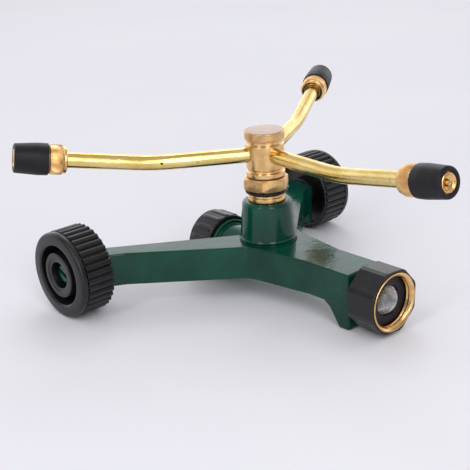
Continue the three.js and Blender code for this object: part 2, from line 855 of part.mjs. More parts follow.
function rotorHub() {
  const chamberBottom = armHeight - hubChamberHeight / 2;
  const chamberTop = armHeight + hubChamberHeight / 2;
  const grooveWall = hubRadius - hubGrooveDepth;
  const flangeTop = hubBottom + hubFlangeHeight;
  const grooveTop = flangeTop + hubGrooveHeight;
  const neckBottom = hubTop - hubNeckHeight;
  const body = turned(
    [
      [hubBore, hubFloor],
      [grooveWall, hubFloor],
      [grooveWall, hubBottom],
      [hubRadius + hubFlangeStep, hubBottom],
      [hubRadius + hubFlangeStep, flangeTop],
      [grooveWall, flangeTop],
      [grooveWall, grooveTop - edgeBreak],
      [hubRadius, grooveTop],
      [hubRadius, neckBottom],
      [hubRadius - hubNeckDepth, neckBottom + edgeBreak],
      [hubRadius - hubNeckDepth, hubTop],
      [hubRecessRadius, hubTop],
      [hubRecessRadius, hubShelf],
      [hubBore, hubShelf],
      [hubBore, chamberTop],
      [hubChamberRadius, chamberTop],
      [hubChamberRadius, chamberBottom],
      [hubBore, chamberBottom],
    ],
    28,
  );
  const sockets = armAzimuths.map((azimuth) => {
    const socketStart = hubChamberRadius - hubSocketDepth;
    const socket = rod(tubeRadius + fitGap, socketStart, hubRadius + overlap, 16);
    socket.rotateY((90 - innerRise) * degree).rotateZ(azimuth * degree);
    return socket.translate(0, 0, armHeight);
  });
  return cut(body, ...sockets);
}

function hubCap() {
  const bottom = hubTop + fitGap;
  const top = bottom + hubCapHeight;
  const skirtBottom = postTop + fitGap;
  const pocketTop = skirtBottom + screwHeadHeight + screwPocketGap;
  const pocketRadius = screwHeadRadius + screwPocketGap;
  return turned(
    [
      [0, pocketTop],
      [pocketRadius, pocketTop],
      [pocketRadius, skirtBottom],
      [hubCapSpigotRadius, skirtBottom],
      [hubCapSpigotRadius, bottom],
      [hubCapRadius - edgeBreak, bottom],
      [hubCapRadius, bottom + edgeBreak],
      [hubCapRadius, top - hubCapEdge],
      [hubCapRadius - hubCapEdge, top],
      [0, top],
    ],
    28,
  );
}

function armTube() {
  const start = innerDirection.clone().multiplyScalar(hubChamberRadius + tubeStart);
  const bendStart = innerDirection.clone().multiplyScalar(innerRun - bendTangent);
  const bendEnd = bendPoint.clone().addScaledVector(outerDirection, bendTangent);
  const end = nozzleBack.clone().addScaledVector(outerDirection, tubeSeat);
  const route = new THREE.CurvePath();
  route.add(new THREE.LineCurve3(start, bendStart));
  route.add(new THREE.QuadraticBezierCurve3(bendStart, bendPoint, bendEnd));
  route.add(new THREE.LineCurve3(bendEnd, end));
  const section = new THREE.Shape(circlePath(tubeRadius, 14).getPoints().reverse());
  section.holes.push(circlePath(tubeBore, 10));
  const settings = { steps: 13, extrudePath: route, bevelEnabled: false };
  const tube = new THREE.ExtrudeGeometry(section, settings);
  const jet = alongPlusY(rod(jetRadius, 0, tubeRadius + overlap, 8));
  const jetPoint = bendPoint.clone().addScaledVector(innerDirection, -jetSetback);
  return cut(tube, jet.translate(jetPoint.x, jetPoint.y, jetPoint.z + jetRaise));
}

function nozzleStem() {
  const wallStart = tubeSeat + fitGap;
  const boreEnd = stemLength - stemFloor;
  const stem = turned(
    [
      [0, boreEnd],
      [tubeBore, boreEnd],
      [tubeBore, wallStart],
      [tubeRadius + fitGap, wallStart],
      [tubeRadius + fitGap, stemSetback],
      [stemRadius, stemSetback],
      [stemRadius, stemLength],
      [needleRootRadius, stemLength],
      [needleTipRadius, stemLength + needleLength],
      [0, stemLength + needleLength],
    ],
    16,
  );
  const port = alongPlusY(rod(stemPortRadius, -stemRadius - overlap, stemRadius + overlap, 10));
  return cut(stem, port.translate(0, 0, boreEnd - stemPortSetback));
}

function nozzleBarrel() {
  const noseStart = barrelLength - noseLength;
  const flareStart = barrelLength - flareLength;
  const orificeStart = flareStart - orificeLength;
  const coneStart = orificeStart - chamberConeLength;
  const knurlEnd = shoulderLength + knurlLength;
  return turned(
    [
      [barrelBore, 0],
      [shoulderRadius, 0],
      [shoulderRadius, shoulderLength],
      [knurlRadius, shoulderLength],
      [knurlRadius, knurlEnd],
      [sleeveSeatRadius, knurlEnd],
      [sleeveSeatRadius, noseStart],
      [noseRadius, noseStart],
      [noseRadius, barrelLength],
      [flareRadius, barrelLength],
      [orificeRadius, flareStart],
      [orificeRadius, orificeStart],
      [barrelBore, coneStart],
      [barrelBore, ringGrooveStart + ringGroove],
      [ringGrooveRadius, ringGrooveStart + ringGroove],
      [ringGrooveRadius, ringGrooveStart],
      [barrelBore, ringGrooveStart],
    ],
    20,
  );
}

function nozzleSeal() {
  const middle = ringGrooveStart + ringGroove / 2;
  const inner = stemRadius + ringGap;
  const outer = ringGrooveRadius - ringGap;
  return ring(inner, outer, middle - ringThickness / 2, middle + ringThickness / 2, 16);
}

function nozzleGrip() {
  const back = shoulderLength + knurlLength + fitGap;
  const front = barrelLength - sleeveOverhang;
  const lip = barrelLength - noseLength + fitGap;
  const roundRadius = sleeveFrontRadius - sleeveFrontRound;
  const round = arcPoints(roundRadius, front - sleeveFrontRound, sleeveFrontRound, 0, 90, 2);
  return turned(
    [
      [sleeveSeatRadius + fitGap, back],
      [sleeveBackRadius - sleeveBackEdge, back],
      [sleeveBackRadius, back + sleeveBackEdge],
      ...round,
      [noseRadius + fitGap, front],
      [noseRadius + fitGap, lip],
      [sleeveSeatRadius + fitGap, lip],
    ],
    20,
  );
}

// Assembly.

const base = new THREE.Group();
sprinkler.add(base);
addPiece(base, "base_casting", baseCasting(), greenEnamel);
addPiece(base, "pedestal_bush", pedestalBush(), machinedBrass);
addPiece(base, "gland_nut", glandNut(), machinedBrass);
const postSealRing = ring(glandShankRadius + fitGap, sealRadius, collarTop + fitGap, hexBottom - fitGap);
addPiece(base, "post_seal", postSealRing, blackRubber);
addPiece(base, "bearing_post", bearingPost(), steel);
const thrustWasher = ring(hubBore, hubRadius - 1.2, 0, thrustWasherHeight, 20);
const lowerWasher = addPiece(base, "lower_thrust_washer", thrustWasher, whitePolymer);
lowerWasher.position.z = hexTop + fitGap;
const retainingWasher = ring(hubBore, hubRecessRadius - 0.5, 0, thrustWasherHeight, 20);
const upperWasher = addPiece(base, "upper_thrust_washer", retainingWasher, whitePolymer);
upperWasher.position.z = hubShelf + fitGap;
addPiece(base, "post_screw", postScrew(), steel);

// Inlet pieces are made along +Z from the rotor axis and turned to point along -Y.
const inlet = new THREE.Group();
inlet.position.z = hoseAxisHeight;
inlet.rotation.x = Math.PI / 2;
base.add(inlet);
addPiece(inlet, "inlet_tailpiece", inletTailpiece(), machinedBrass);
addPiece(inlet, "inlet_washer", ring(washerBore, nutBore - 1, washerBack, washerFront), blackRubber);
addPiece(inlet, "inlet_filter", inletFilter(), steel);
addPiece(inlet, "inlet_nut", inletNut(), machinedBrass);
addPiece(inlet, "inlet_grip", inletGrip(), blackPlastic);

const outlet = new THREE.Group();
outlet.position.z = hoseAxisHeight;
outlet.rotation.x = -Math.PI / 2;
base.add(outlet);
const capSeal = rod(threadRadius, capFloor - fitGap - capSealThickness, capFloor - fitGap);
addPiece(outlet, "outlet_seal", capSeal, blackRubber);
addPiece(outlet, "outlet_cap", outletCap(), blackPlastic);

const wheelGeometry = wheel();
[
  ["wheel_left", -1],
  ["wheel_right", 1],
].forEach(([name, side]) => {
  const rolling = addPiece(base, name, wheelGeometry, blackPlastic);
  rolling.position.set(side * wheelFace, axleY, wheelRadius);
  rolling.rotation.y = (side * Math.PI) / 2;
});

const rotor = new THREE.Group();
sprinkler.add(rotor);
addPiece(rotor, "rotor_hub", rotorHub(), machinedBrass);
addPiece(rotor, "hub_cap", hubCap(), machinedBrass);

const tubeGeometry = armTube();
const stemGeometry = nozzleStem();
const sealGeometry = nozzleSeal();
const barrelGeometry = nozzleBarrel();
const gripGeometry = nozzleGrip();
armAzimuths.forEach((azimuth, index) => {
  const arm = new THREE.Group();
  arm.position.z = armHeight;
  arm.rotation.z = azimuth * degree;
  rotor.add(arm);
  addPiece(arm, `arm_tube_${index + 1}`, tubeGeometry, brightBrass);
  // Nozzle pieces are made along +Z from the back of the barrel.
  const nozzle = new THREE.Group();
  nozzle.position.copy(nozzleBack);
  nozzle.quaternion.setFromUnitVectors(new THREE.Vector3(0, 0, 1), outerDirection);
  arm.add(nozzle);
  addPiece(nozzle, `nozzle_stem_${index + 1}`, stemGeometry, machinedBrass);
  addPiece(nozzle, `nozzle_seal_${index + 1}`, sealGeometry, blackRubber);
  addPiece(nozzle, `nozzle_barrel_${index + 1}`, barrelGeometry, machinedBrass);
  addPiece(nozzle, `nozzle_grip_${index + 1}`, gripGeometry, blackRubber);
});

// The frame's origin is on the ground under the middle of the whole sprinkler.
sprinkler.position.y = (armReach - axleY - wheelRadius) / 2;

export default sprinkler;
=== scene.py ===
import json
import math

import bpy
from mathutils import Matrix, Vector


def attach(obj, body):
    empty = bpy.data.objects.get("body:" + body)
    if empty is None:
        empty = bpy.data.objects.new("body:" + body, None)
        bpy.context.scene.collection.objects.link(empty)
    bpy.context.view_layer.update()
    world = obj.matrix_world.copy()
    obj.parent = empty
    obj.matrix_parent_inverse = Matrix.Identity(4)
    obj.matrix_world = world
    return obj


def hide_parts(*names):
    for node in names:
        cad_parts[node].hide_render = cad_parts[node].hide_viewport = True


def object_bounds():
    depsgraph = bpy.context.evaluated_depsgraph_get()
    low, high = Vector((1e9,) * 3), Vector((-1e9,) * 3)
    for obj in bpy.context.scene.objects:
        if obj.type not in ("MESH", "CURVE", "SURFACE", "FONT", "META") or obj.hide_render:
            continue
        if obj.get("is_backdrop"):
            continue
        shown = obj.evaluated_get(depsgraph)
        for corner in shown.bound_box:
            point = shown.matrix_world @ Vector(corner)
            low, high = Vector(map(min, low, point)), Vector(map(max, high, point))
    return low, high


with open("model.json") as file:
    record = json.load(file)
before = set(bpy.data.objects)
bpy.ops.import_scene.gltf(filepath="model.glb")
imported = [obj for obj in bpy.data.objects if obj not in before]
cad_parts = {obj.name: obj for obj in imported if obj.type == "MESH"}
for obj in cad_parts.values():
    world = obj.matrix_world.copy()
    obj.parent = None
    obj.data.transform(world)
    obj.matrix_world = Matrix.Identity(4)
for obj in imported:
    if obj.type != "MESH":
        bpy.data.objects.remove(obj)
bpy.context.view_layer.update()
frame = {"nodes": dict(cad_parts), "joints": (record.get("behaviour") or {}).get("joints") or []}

mm = 0.001
joints = {joint["name"]: joint for joint in frame["joints"]}
rotorAt = Vector(joints["rotor_spin"]["pos_m"])
swivelAt = Vector(joints["inlet_swivel"]["pos_m"])


def deselectAll():
    if bpy.context.object and bpy.context.object.mode != "OBJECT":
        bpy.ops.object.mode_set(mode="OBJECT")
    bpy.ops.object.select_all(action="DESELECT")


def pick(piece):
    deselectAll()
    piece.select_set(True)
    bpy.context.view_layer.objects.active = piece


def editAll(piece):
    pick(piece)
    bpy.ops.object.mode_set(mode="EDIT")
    bpy.ops.mesh.select_mode(type="VERT")
    bpy.ops.mesh.select_all(action="SELECT")


# corners are [across, up] or [across, up, fillet]; the filleted ones become arcs
def softened(corners, closed=False, arcSteps=5):
    points = []
    count = len(corners)
    for index, corner in enumerate(corners):
        here = Vector(corner[:2])
        fillet = corner[2] if len(corner) > 2 else 0
        if not fillet or (not closed and index in (0, count - 1)):
            points.append(here)
            continue
        before = (Vector(corners[index - 1][:2]) - here).normalized()
        after = (Vector(corners[(index + 1) % count][:2]) - here).normalized()
        half = before.angle(after) / 2
        centre = here + (before + after).normalized() * (fillet / math.sin(half))
        start = here + before * (fillet / math.tan(half)) - centre
        end = here + after * (fillet / math.tan(half)) - centre
        turn = math.atan2(start.x * end.y - start.y * end.x, start.dot(end))
        for step in range(arcSteps + 1):
            angle = turn * step / arcSteps
            spoke = Vector((start.x * math.cos(angle) - start.y * math.sin(angle),
                            start.x * math.sin(angle) + start.y * math.cos(angle)))
            points.append(centre + spoke)
    return points


# a chain of edges drawn by extruding one vertex from point to point
def drawLine(name, points):
    deselectAll()
    bpy.ops.mesh.primitive_plane_add(size=mm, location=(0, 0, 0))
    piece = bpy.context.object
    piece.name = piece.data.name = name
    bpy.ops.object.mode_set(mode="EDIT")
    bpy.ops.mesh.select_mode(type="VERT")
    bpy.ops.mesh.select_all(action="SELECT")
    bpy.ops.mesh.merge(type="CENTER")
    bpy.ops.transform.translate(value=points[0])
    for before, after in zip(points, points[1:]):
        bpy.ops.mesh.extrude_region_move(TRANSFORM_OT_translate={"value": after - before})
    return piece


def closeUp():
    bpy.ops.mesh.select_all(action="SELECT")
    bpy.ops.mesh.remove_doubles(threshold=2e-6)
    bpy.ops.mesh.normals_make_consistent(inside=False)
    bpy.ops.object.mode_set(mode="OBJECT")


# a turned piece: the outline, in [radius, height], is spun round Z
def turned(name, corners, turns=96, closed=False, arcSteps=4):
    outline = softened(corners, closed, arcSteps)
    points = [Vector((point.x * mm, 0, point.y * mm)) for point in outline]
    if closed:
        points.append(points[0])
    piece = drawLine(name, points)
    bpy.ops.mesh.select_all(action="SELECT")
    bpy.ops.mesh.spin(steps=turns, angle=2 * math.pi, center=(0, 0, 0), axis=(0, 0, 1))
    closeUp()
    return piece


# a plain round rod on Z, used as a tool for bores and shanks
def rod(name, radius, low, high, turns=48):
    return turned(name, [[0, low], [radius, low], [radius, high], [0, high]], turns)


# a flat outline pulled up into a block, with its edges rounded over
def extruded(name, corners, low, high, edge=0, arcSteps=5):
    outline = softened(corners, True, arcSteps)
    points = [Vector((point.x * mm, point.y * mm, low * mm)) for point in outline]
    piece = drawLine(name, points + [points[0]])
    bpy.ops.mesh.select_all(action="SELECT")
    bpy.ops.mesh.remove_doubles(threshold=2e-6)
    bpy.ops.mesh.edge_face_add()
    bpy.ops.mesh.extrude_region_move(TRANSFORM_OT_translate={"value": (0, 0, (high - low) * mm)})
    closeUp()
    if edge:
        roundEdges(piece, edge)
    return piece


def useModifier(piece, kind, **settings):
    pick(piece)
    modifier = piece.modifiers.new(kind.lower(), kind)
    for key, value in settings.items():
        setattr(modifier, key, value)
    bpy.ops.object.modifier_apply(modifier=modifier.name)
    return piece


def roundEdges(piece, width, steps=4, angle=50):
    return useModifier(piece, "BEVEL", width=width * mm, segments=steps, limit_method="ANGLE",
                       angle_limit=math.radians(angle), use_clamp_overlap=False)


def combine(piece, tool, operation="DIFFERENCE"):
    useModifier(piece, "BOOLEAN", operation=operation, solver="EXACT", object=tool)
    bpy.data.objects.remove(tool)
    return piece


def moved(piece, matrix):
    pick(piece)
    piece.matrix_world = matrix @ piece.matrix_world
    bpy.ops.object.transform_apply(location=True, rotation=True, scale=True)
    return piece


# pulls the chosen vertices in or out round the Z axis
def scaleWhere(piece, chosen, factor, along=(1, 1, 0)):
    editAll(piece)
    bpy.ops.mesh.select_all(action="DESELECT")
    bpy.ops.object.mode_set(mode="OBJECT")
    for vertex in piece.data.vertices:
        vertex.select = chosen(vertex.co)
    bpy.ops.object.mode_set(mode="EDIT")
    value = [factor if axis else 1 for axis in along]
    bpy.ops.transform.resize(value=value, center_override=(0, 0, 0))
    bpy.ops.object.mode_set(mode="OBJECT")


# even ridges round Z: heights is one ridge's outline, one number for each spun column
def ridge(piece, count, heights, depth, radius, low, high):
    columns = count * len(heights)

    def columnOf(co):
        return round(math.atan2(co.y, co.x) / (2 * math.pi) * columns) % len(heights)

    for height in sorted(set(heights)):
        if height == 0:
            continue
        scaleWhere(piece, lambda co: abs(math.hypot(co.x, co.y) - radius * mm) < 0.02 * mm
                   and low * mm <= co.z <= high * mm and heights[columnOf(co)] == height,
                   1 + height * depth / radius)


def ownCopy(piece, name):
    copy = piece.copy()
    copy.data = piece.data.copy()
    copy.name = copy.data.name = name
    bpy.context.scene.collection.objects.link(copy)
    return copy


# the piece as it was made, in mm along its own axes, kept for the finishes to read
def keepMade(piece):
    made = piece.data.attributes.new("made", "FLOAT_VECTOR", "POINT")
    for vertex, entry in zip(piece.data.vertices, made.data):
        entry.vector = vertex.co / mm


def finished(piece, place, body, finish, slot, *nodes, smooth=35, weighted=False):
    keepMade(piece)
    moved(piece, place)
    pick(piece)
    bpy.ops.object.shade_smooth_by_angle(angle=math.radians(smooth))
    if weighted:
        useModifier(piece, "WEIGHTED_NORMAL", keep_sharp=True, weight=100)
    piece.data.materials.clear()
    piece.data.materials.append(finish)
    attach(piece, body)
    if nodes:
        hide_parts(*nodes)
    return piece


# a shader socket that can be used in sums
class Feed:
    def __init__(self, finish, socket):
        self.finish = finish
        self.socket = socket

    def sum(self, operation, first, second):
        node = self.finish.node("Math", {"operation": operation}, {0: first, 1: second})
        return self.finish.out(node)

    def __add__(self, other):
        return self.sum("ADD", self, other)

    def __radd__(self, other):
        return self.sum("ADD", other, self)

    def __sub__(self, other):
        return self.sum("SUBTRACT", self, other)

    def __rsub__(self, other):
        return self.sum("SUBTRACT", other, self)

    def __mul__(self, other):
        return self.sum("MULTIPLY", self, other)

    def __rmul__(self, other):
        return self.sum("MULTIPLY", other, self)


class Finish:
    def __init__(self, name):
        self.material = bpy.data.materials.new(name)
        self.material.use_nodes = True
        self.tree = self.material.node_tree
        self.shader = self.tree.nodes["Principled BSDF"]

    def node(self, kind, settings, sockets):
        made = self.tree.nodes.new("ShaderNode" + kind)
        for key, value in settings.items():
            if key == "stops":
                ramp = made.color_ramp
                while len(ramp.elements) < len(value):
                    ramp.elements.new(0.5)
                for element, (place, colour) in zip(ramp.elements, value):
                    element.position = place
                    element.color = (*colour, 1)
            else:
                setattr(made, key, value)
        for key, value in sockets.items():
            self.feed(made.inputs[key], value)
        return made

    def feed(self, socket, value):
        if isinstance(value, Feed):
            self.tree.links.new(value.socket, socket)
        else:
            socket.default_value = value

    def out(self, node, name=0):
        return Feed(self, node.outputs[name])

    # sets the shader's own sockets
    def set(self, **values):
        for key, value in values.items():
            self.feed(self.shader.inputs[key.replace("_", " ")], value)
        return self.material

    def objectPlace(self):
        return self.out(self.node("TexCoord", {}, {}), "Object")

    def madePlace(self):
        return self.out(self.node("Attribute", {"attribute_name": "made"}, {}), "Vector")

    def scaled(self, place, x, y, z):
        return self.out(self.node("Mapping", {}, {"Vector": place, "Scale": (x, y, z)}))

    def noise(self, place, scale, detail=3, rough=0.5, distort=0):
        return self.out(self.node("TexNoise", {}, {"Vector": place, "Scale": scale, "Detail": detail,
                                                   "Roughness": rough, "Distortion": distort}), "Fac")

    # 0 below the low level and 1 above the high one
    def between(self, value, low, high, least=0, most=1):
        node = self.node("MapRange", {"interpolation_type": "SMOOTHSTEP"},
                         {"Value": value, "From Min": low, "From Max": high,
                          "To Min": least, "To Max": most})
        return self.out(node)

    def blended(self, share, first, second):
        node = self.node("Mix", {"data_type": "RGBA"}, {0: share, 6: first, 7: second})
        return self.out(node, 2)

    def bump(self, height, distance, strength=1, over=None):
        sockets = {"Height": height, "Distance": distance, "Strength": strength}
        if over:
            sockets["Normal"] = over
        return self.out(self.node("Bump", {}, sockets), "Normal")


def shade(red, green, blue):
    return tuple((level / 255) ** 2.2 for level in (red, green, blue)) + (1,)


enamel = {"deep": shade(8, 60, 48), "thin": shade(16, 78, 63), "dust": shade(110, 130, 120)}

def greenEnamel():
    finish = Finish("green enamel")
    place = finish.objectPlace()
    clouds = finish.noise(place, 38, 4)
    peel = finish.noise(place, 620, 2)
    specks = finish.between(finish.noise(place, 1500, 2), 0.71, 0.76)
    smudge = finish.between(finish.noise(place, 90, 5, 0.6), 0.42, 0.72)
    paint = finish.blended(finish.between(clouds, 0.3, 0.7), enamel["deep"], enamel["thin"])
    colour = finish.blended(specks * 0.35 + smudge * 0.02, paint, enamel["dust"])
    rough = 0.1 + smudge * 0.1 + specks * 0.3
    waves = finish.bump(finish.noise(place, 160, 2), 0.00022, 0.5)
    normal = finish.bump(peel, 0.00006, 0.5, waves)
    return finish.set(Base_Color=colour, Roughness=rough, Normal=normal, IOR=1.4)


tubeBrass = {"bright": shade(238, 214, 146), "warm": shade(222, 188, 112), "stain": shade(160, 128, 66)}

def polishedBrass():
    finish = Finish("polished brass")
    place = finish.madePlace()
    drawn = finish.noise(finish.scaled(place, 0.02, 1, 1), 1.6, 4, 0.6)
    cloud = finish.noise(finish.scaled(place, 0.4, 1, 1), 0.13, 4, 0.6)
    stain = finish.between(finish.noise(place, 0.34, 5, 0.65), 0.56, 0.74)
    colour = finish.blended(finish.between(cloud, 0.35, 0.65), tubeBrass["bright"], tubeBrass["warm"])
    colour = finish.blended(stain * 0.5, colour, tubeBrass["stain"])
    rough = 0.13 + drawn * 0.1 + stain * 0.12
    dents = finish.bump(cloud, 0.0006, 0.35)
    normal = finish.bump(drawn, 0.00004, 0.5, dents)
    return finish.set(Base_Color=colour, Roughness=rough, Metallic=1, Normal=normal)


latheBrass = {"bright": shade(238, 198, 140), "warm": shade(220, 174, 114), "stain": shade(146, 100, 60)}

# the cap's last tone and its two heights are painted shade: they colour the cap's top face darker and greyer
capBrass = {"bright": shade(228, 188, 136), "warm": shade(206, 162, 108), "stain": shade(120, 84, 56),
            "paintedTopShade": shade(156, 137, 126), "paintedShadeFrom": 90.5, "paintedShadeTo": 90.75}

# turning marks run round the piece's own Z axis; a painted shade colours what is above its height darker
def turnedBrass(name, tones, polish):
    finish = Finish(name)
    place = finish.madePlace()
    marks = finish.noise(finish.scaled(place, 0.03, 0.03, 1), 7, 3, 0.7)
    cloud = finish.noise(place, 0.22, 4, 0.6)
    stain = finish.between(finish.noise(place, 0.5, 5, 0.7), 0.66, 0.84)
    colour = finish.blended(finish.between(cloud, 0.35, 0.65), tones["bright"], tones["warm"])
    colour = finish.blended(stain * 0.25, colour, tones["stain"])
    # painted shade: what is above the given height, the cap's top face, is coloured darker
    if "paintedTopShade" in tones:
        height = finish.out(finish.node("SeparateXYZ", {}, {"Vector": place}), "Z")
        top = finish.between(height, tones["paintedShadeFrom"], tones["paintedShadeTo"])
        colour = finish.blended(top * (0.7 + cloud * 0.4), colour, tones["paintedTopShade"])
    rough = polish + marks * 0.16 + stain * 0.12
    normal = finish.bump(marks, 0.00005, 0.7)
    return finish.set(Base_Color=colour, Roughness=rough, Metallic=1, Normal=normal)


rubberInk = {"dark": shade(24, 24, 28), "worn": shade(44, 44, 49), "dust": shade(110, 108, 110)}

def blackRubber():
    finish = Finish("black rubber")
    place = finish.objectPlace()
    bloom = finish.between(finish.noise(place, 120, 4, 0.6), 0.4, 0.75)
    grain = finish.noise(place, 2600, 2)
    dust = finish.between(finish.noise(place, 1900, 2), 0.72, 0.78)
    colour = finish.blended(bloom * 0.5, rubberInk["dark"], rubberInk["worn"])
    colour = finish.blended(dust * 0.4, colour, rubberInk["dust"])
    rough = 0.42 + bloom * 0.16
    normal = finish.bump(grain, 0.00005, 0.4)
    return finish.set(Base_Color=colour, Roughness=rough, Normal=normal, Specular_IOR_Level=0.3)


plasticInk = {"dark": shade(22, 22, 25), "worn": shade(40, 40, 44), "dust": shade(120, 118, 120)}

def blackPlastic():
    finish = Finish("black plastic")
    place = finish.objectPlace()
    scuffs = finish.between(finish.noise(place, 150, 5, 0.65), 0.45, 0.72)
    grain = finish.noise(place, 1500, 3)
    dust = finish.between(finish.noise(place, 1700, 2), 0.72, 0.78)
    colour = finish.blended(scuffs * 0.6, plasticInk["dark"], plasticInk["worn"])
    colour = finish.blended(dust * 0.4, colour, plasticInk["dust"])
    rough = 0.3 + scuffs * 0.14 + grain * 0.06
    normal = finish.bump(grain, 0.00006, 0.5)
    return finish.set(Base_Color=colour, Roughness=rough, Normal=normal, IOR=1.49)


wire = {"bright": shade(226, 226, 228), "grey": shade(176, 176, 180)}

def stainlessSteel():
    finish = Finish("stainless steel")
    place = finish.objectPlace()
    brushed = finish.noise(finish.scaled(place, 1, 1, 0.05), 900, 3, 0.6)
    cloud = finish.between(finish.noise(place, 240, 3), 0.35, 0.7)
    colour = finish.blended(cloud, wire["bright"], wire["grey"])
    rough = 0.18 + brushed * 0.18
    normal = finish.bump(brushed, 0.00003, 0.4)
    return finish.set(Base_Color=colour, Roughness=rough, Metallic=1, Normal=normal)


def whitePolymer():
    finish = Finish("white polymer")
    place = finish.objectPlace()
    rubbed = finish.between(finish.noise(place, 500, 4, 0.6), 0.4, 0.7)
    colour = finish.blended(rubbed, shade(232, 230, 222), shade(210, 207, 196))
    return finish.set(Base_Color=colour, Roughness=0.4 + rubbed * 0.2,
                      Normal=finish.bump(rubbed, 0.00003, 0.4))


green = greenEnamel()
tubeFinish = polishedBrass()
brass = turnedBrass("turned brass", latheBrass, 0.16)
satinBrass = turnedBrass("satin brass", latheBrass, 0.3)
dullBrass = turnedBrass("dull brass", capBrass, 0.24)
rubber = blackRubber()
plastic = blackPlastic()
steel = stainlessSteel()
polymer = whitePolymer()
print("finishes ready")


onRotor = Matrix.Translation((rotorAt.x, rotorAt.y, 0))
hoseLine = Matrix.Translation((rotorAt.x, rotorAt.y, swivelAt.z))
inletLine = hoseLine @ Matrix.Rotation(math.radians(90), 4, "X")
outletLine = hoseLine @ Matrix.Rotation(math.radians(-90), 4, "X")


def along(name):
    joint = joints[name]
    turn = Vector(joint["axis"]).to_track_quat("Z", "Y").to_matrix().to_4x4()
    return Matrix.Translation(joint["pos_m"]) @ turn


casting = {
    "armTop": 30.5, "armUnder": 12.3, "edge": 0.9, "corner": 1.4, "lap": 0.6,
    "inletReach": 69.5, "inletHalf": 12, "taperFrom": -42, "taperFillet": 20,
    "rootHalf": 17, "rootAt": -10, "rootFillet": 8,
    "wheelAngle": 37.5, "wheelHalf": 5.2, "wheelRootHalf": 9.5, "wheelRootAt": 19.2, "wheelRootFillet": 6,
    "axleY": 55.8, "axleZ": 23.5, "padFace": 79.3, "padBack": 74.9, "padHalf": 12, "padBottom": 6.5,
    "padFrontCurve": 7, "padRearCurve": 5, "padFillet": 4,
    "padInset": 0.15, "padMargin": 0.9, "padCorner": 1, "padDrop": 2, "padEdge": 0.6,
    "wall": 2.6, "hollowStart": 5, "hollowEnd": 2, "hollowFillets": (2, 1), "hoseZ": 17.9,
    "pedestalTop": 52.2, "pedestalTopRadius": 13.3, "pedestalRadius": 15.3, "beadRadius": 15.7,
    "beadRise": 1.6, "skirt": 1.2,
    "footDepth": 7.1, "footInset": 0.12, "footMargin": 0.5, "footLap": 6, "footStep": 6.4, "footRun": 11.9,
    "neckRadius": 11.9, "neckLength": 2.7, "neckLap": 2,
    "spigotRadius": 12.6, "spigotFrom": 8, "collarRadius": 14.8, "collarAt": 30.5, "collarEnd": 32.7,
    "threadRadius": 13.4, "threadDepth": 0.8, "threadPitch": 2.21, "threadFrom": 34.2, "threadTurns": 4,
    "spigotEnd": 44.5,
    "axleRadius": 5, "axleHead": 6.1, "axleEnd": 97.15, "axleHeadFrom": 92.7, "axleLead": 1.2,
    "axleBoss": 7.6, "axleBossTo": 79.65,
    "slitHalf": 1.1, "slitReach": 9, "slitFrom": 85.9, "slitTo": 99, "slitTurn": 65,
    "seatBore": 8.3, "seatFrom": 58.5, "seatTo": 74, "seatTurn": 2,
    "outletBore": 9.5, "outletFrom": 20, "outletTo": 46,
    "bushBore": 8.9, "bushFrom": 37.9, "bushTo": 54,
}


def wheelArmEdge(x, side):
    part = casting
    tilt = math.radians(part["wheelAngle"])
    middle = part["axleY"] - (part["padFace"] - x) * math.tan(tilt)
    share = (x - part["wheelRootAt"]) / (part["padBack"] - part["wheelRootAt"])
    half = part["wheelRootHalf"] + (part["wheelHalf"] - part["wheelRootHalf"]) * share
    return middle + side * half / math.cos(tilt)


def bothSides(rightSide, between):
    leftSide = [[-x, *rest] for x, *rest in rightSide]
    return rightSide + between + leftSide[::-1]


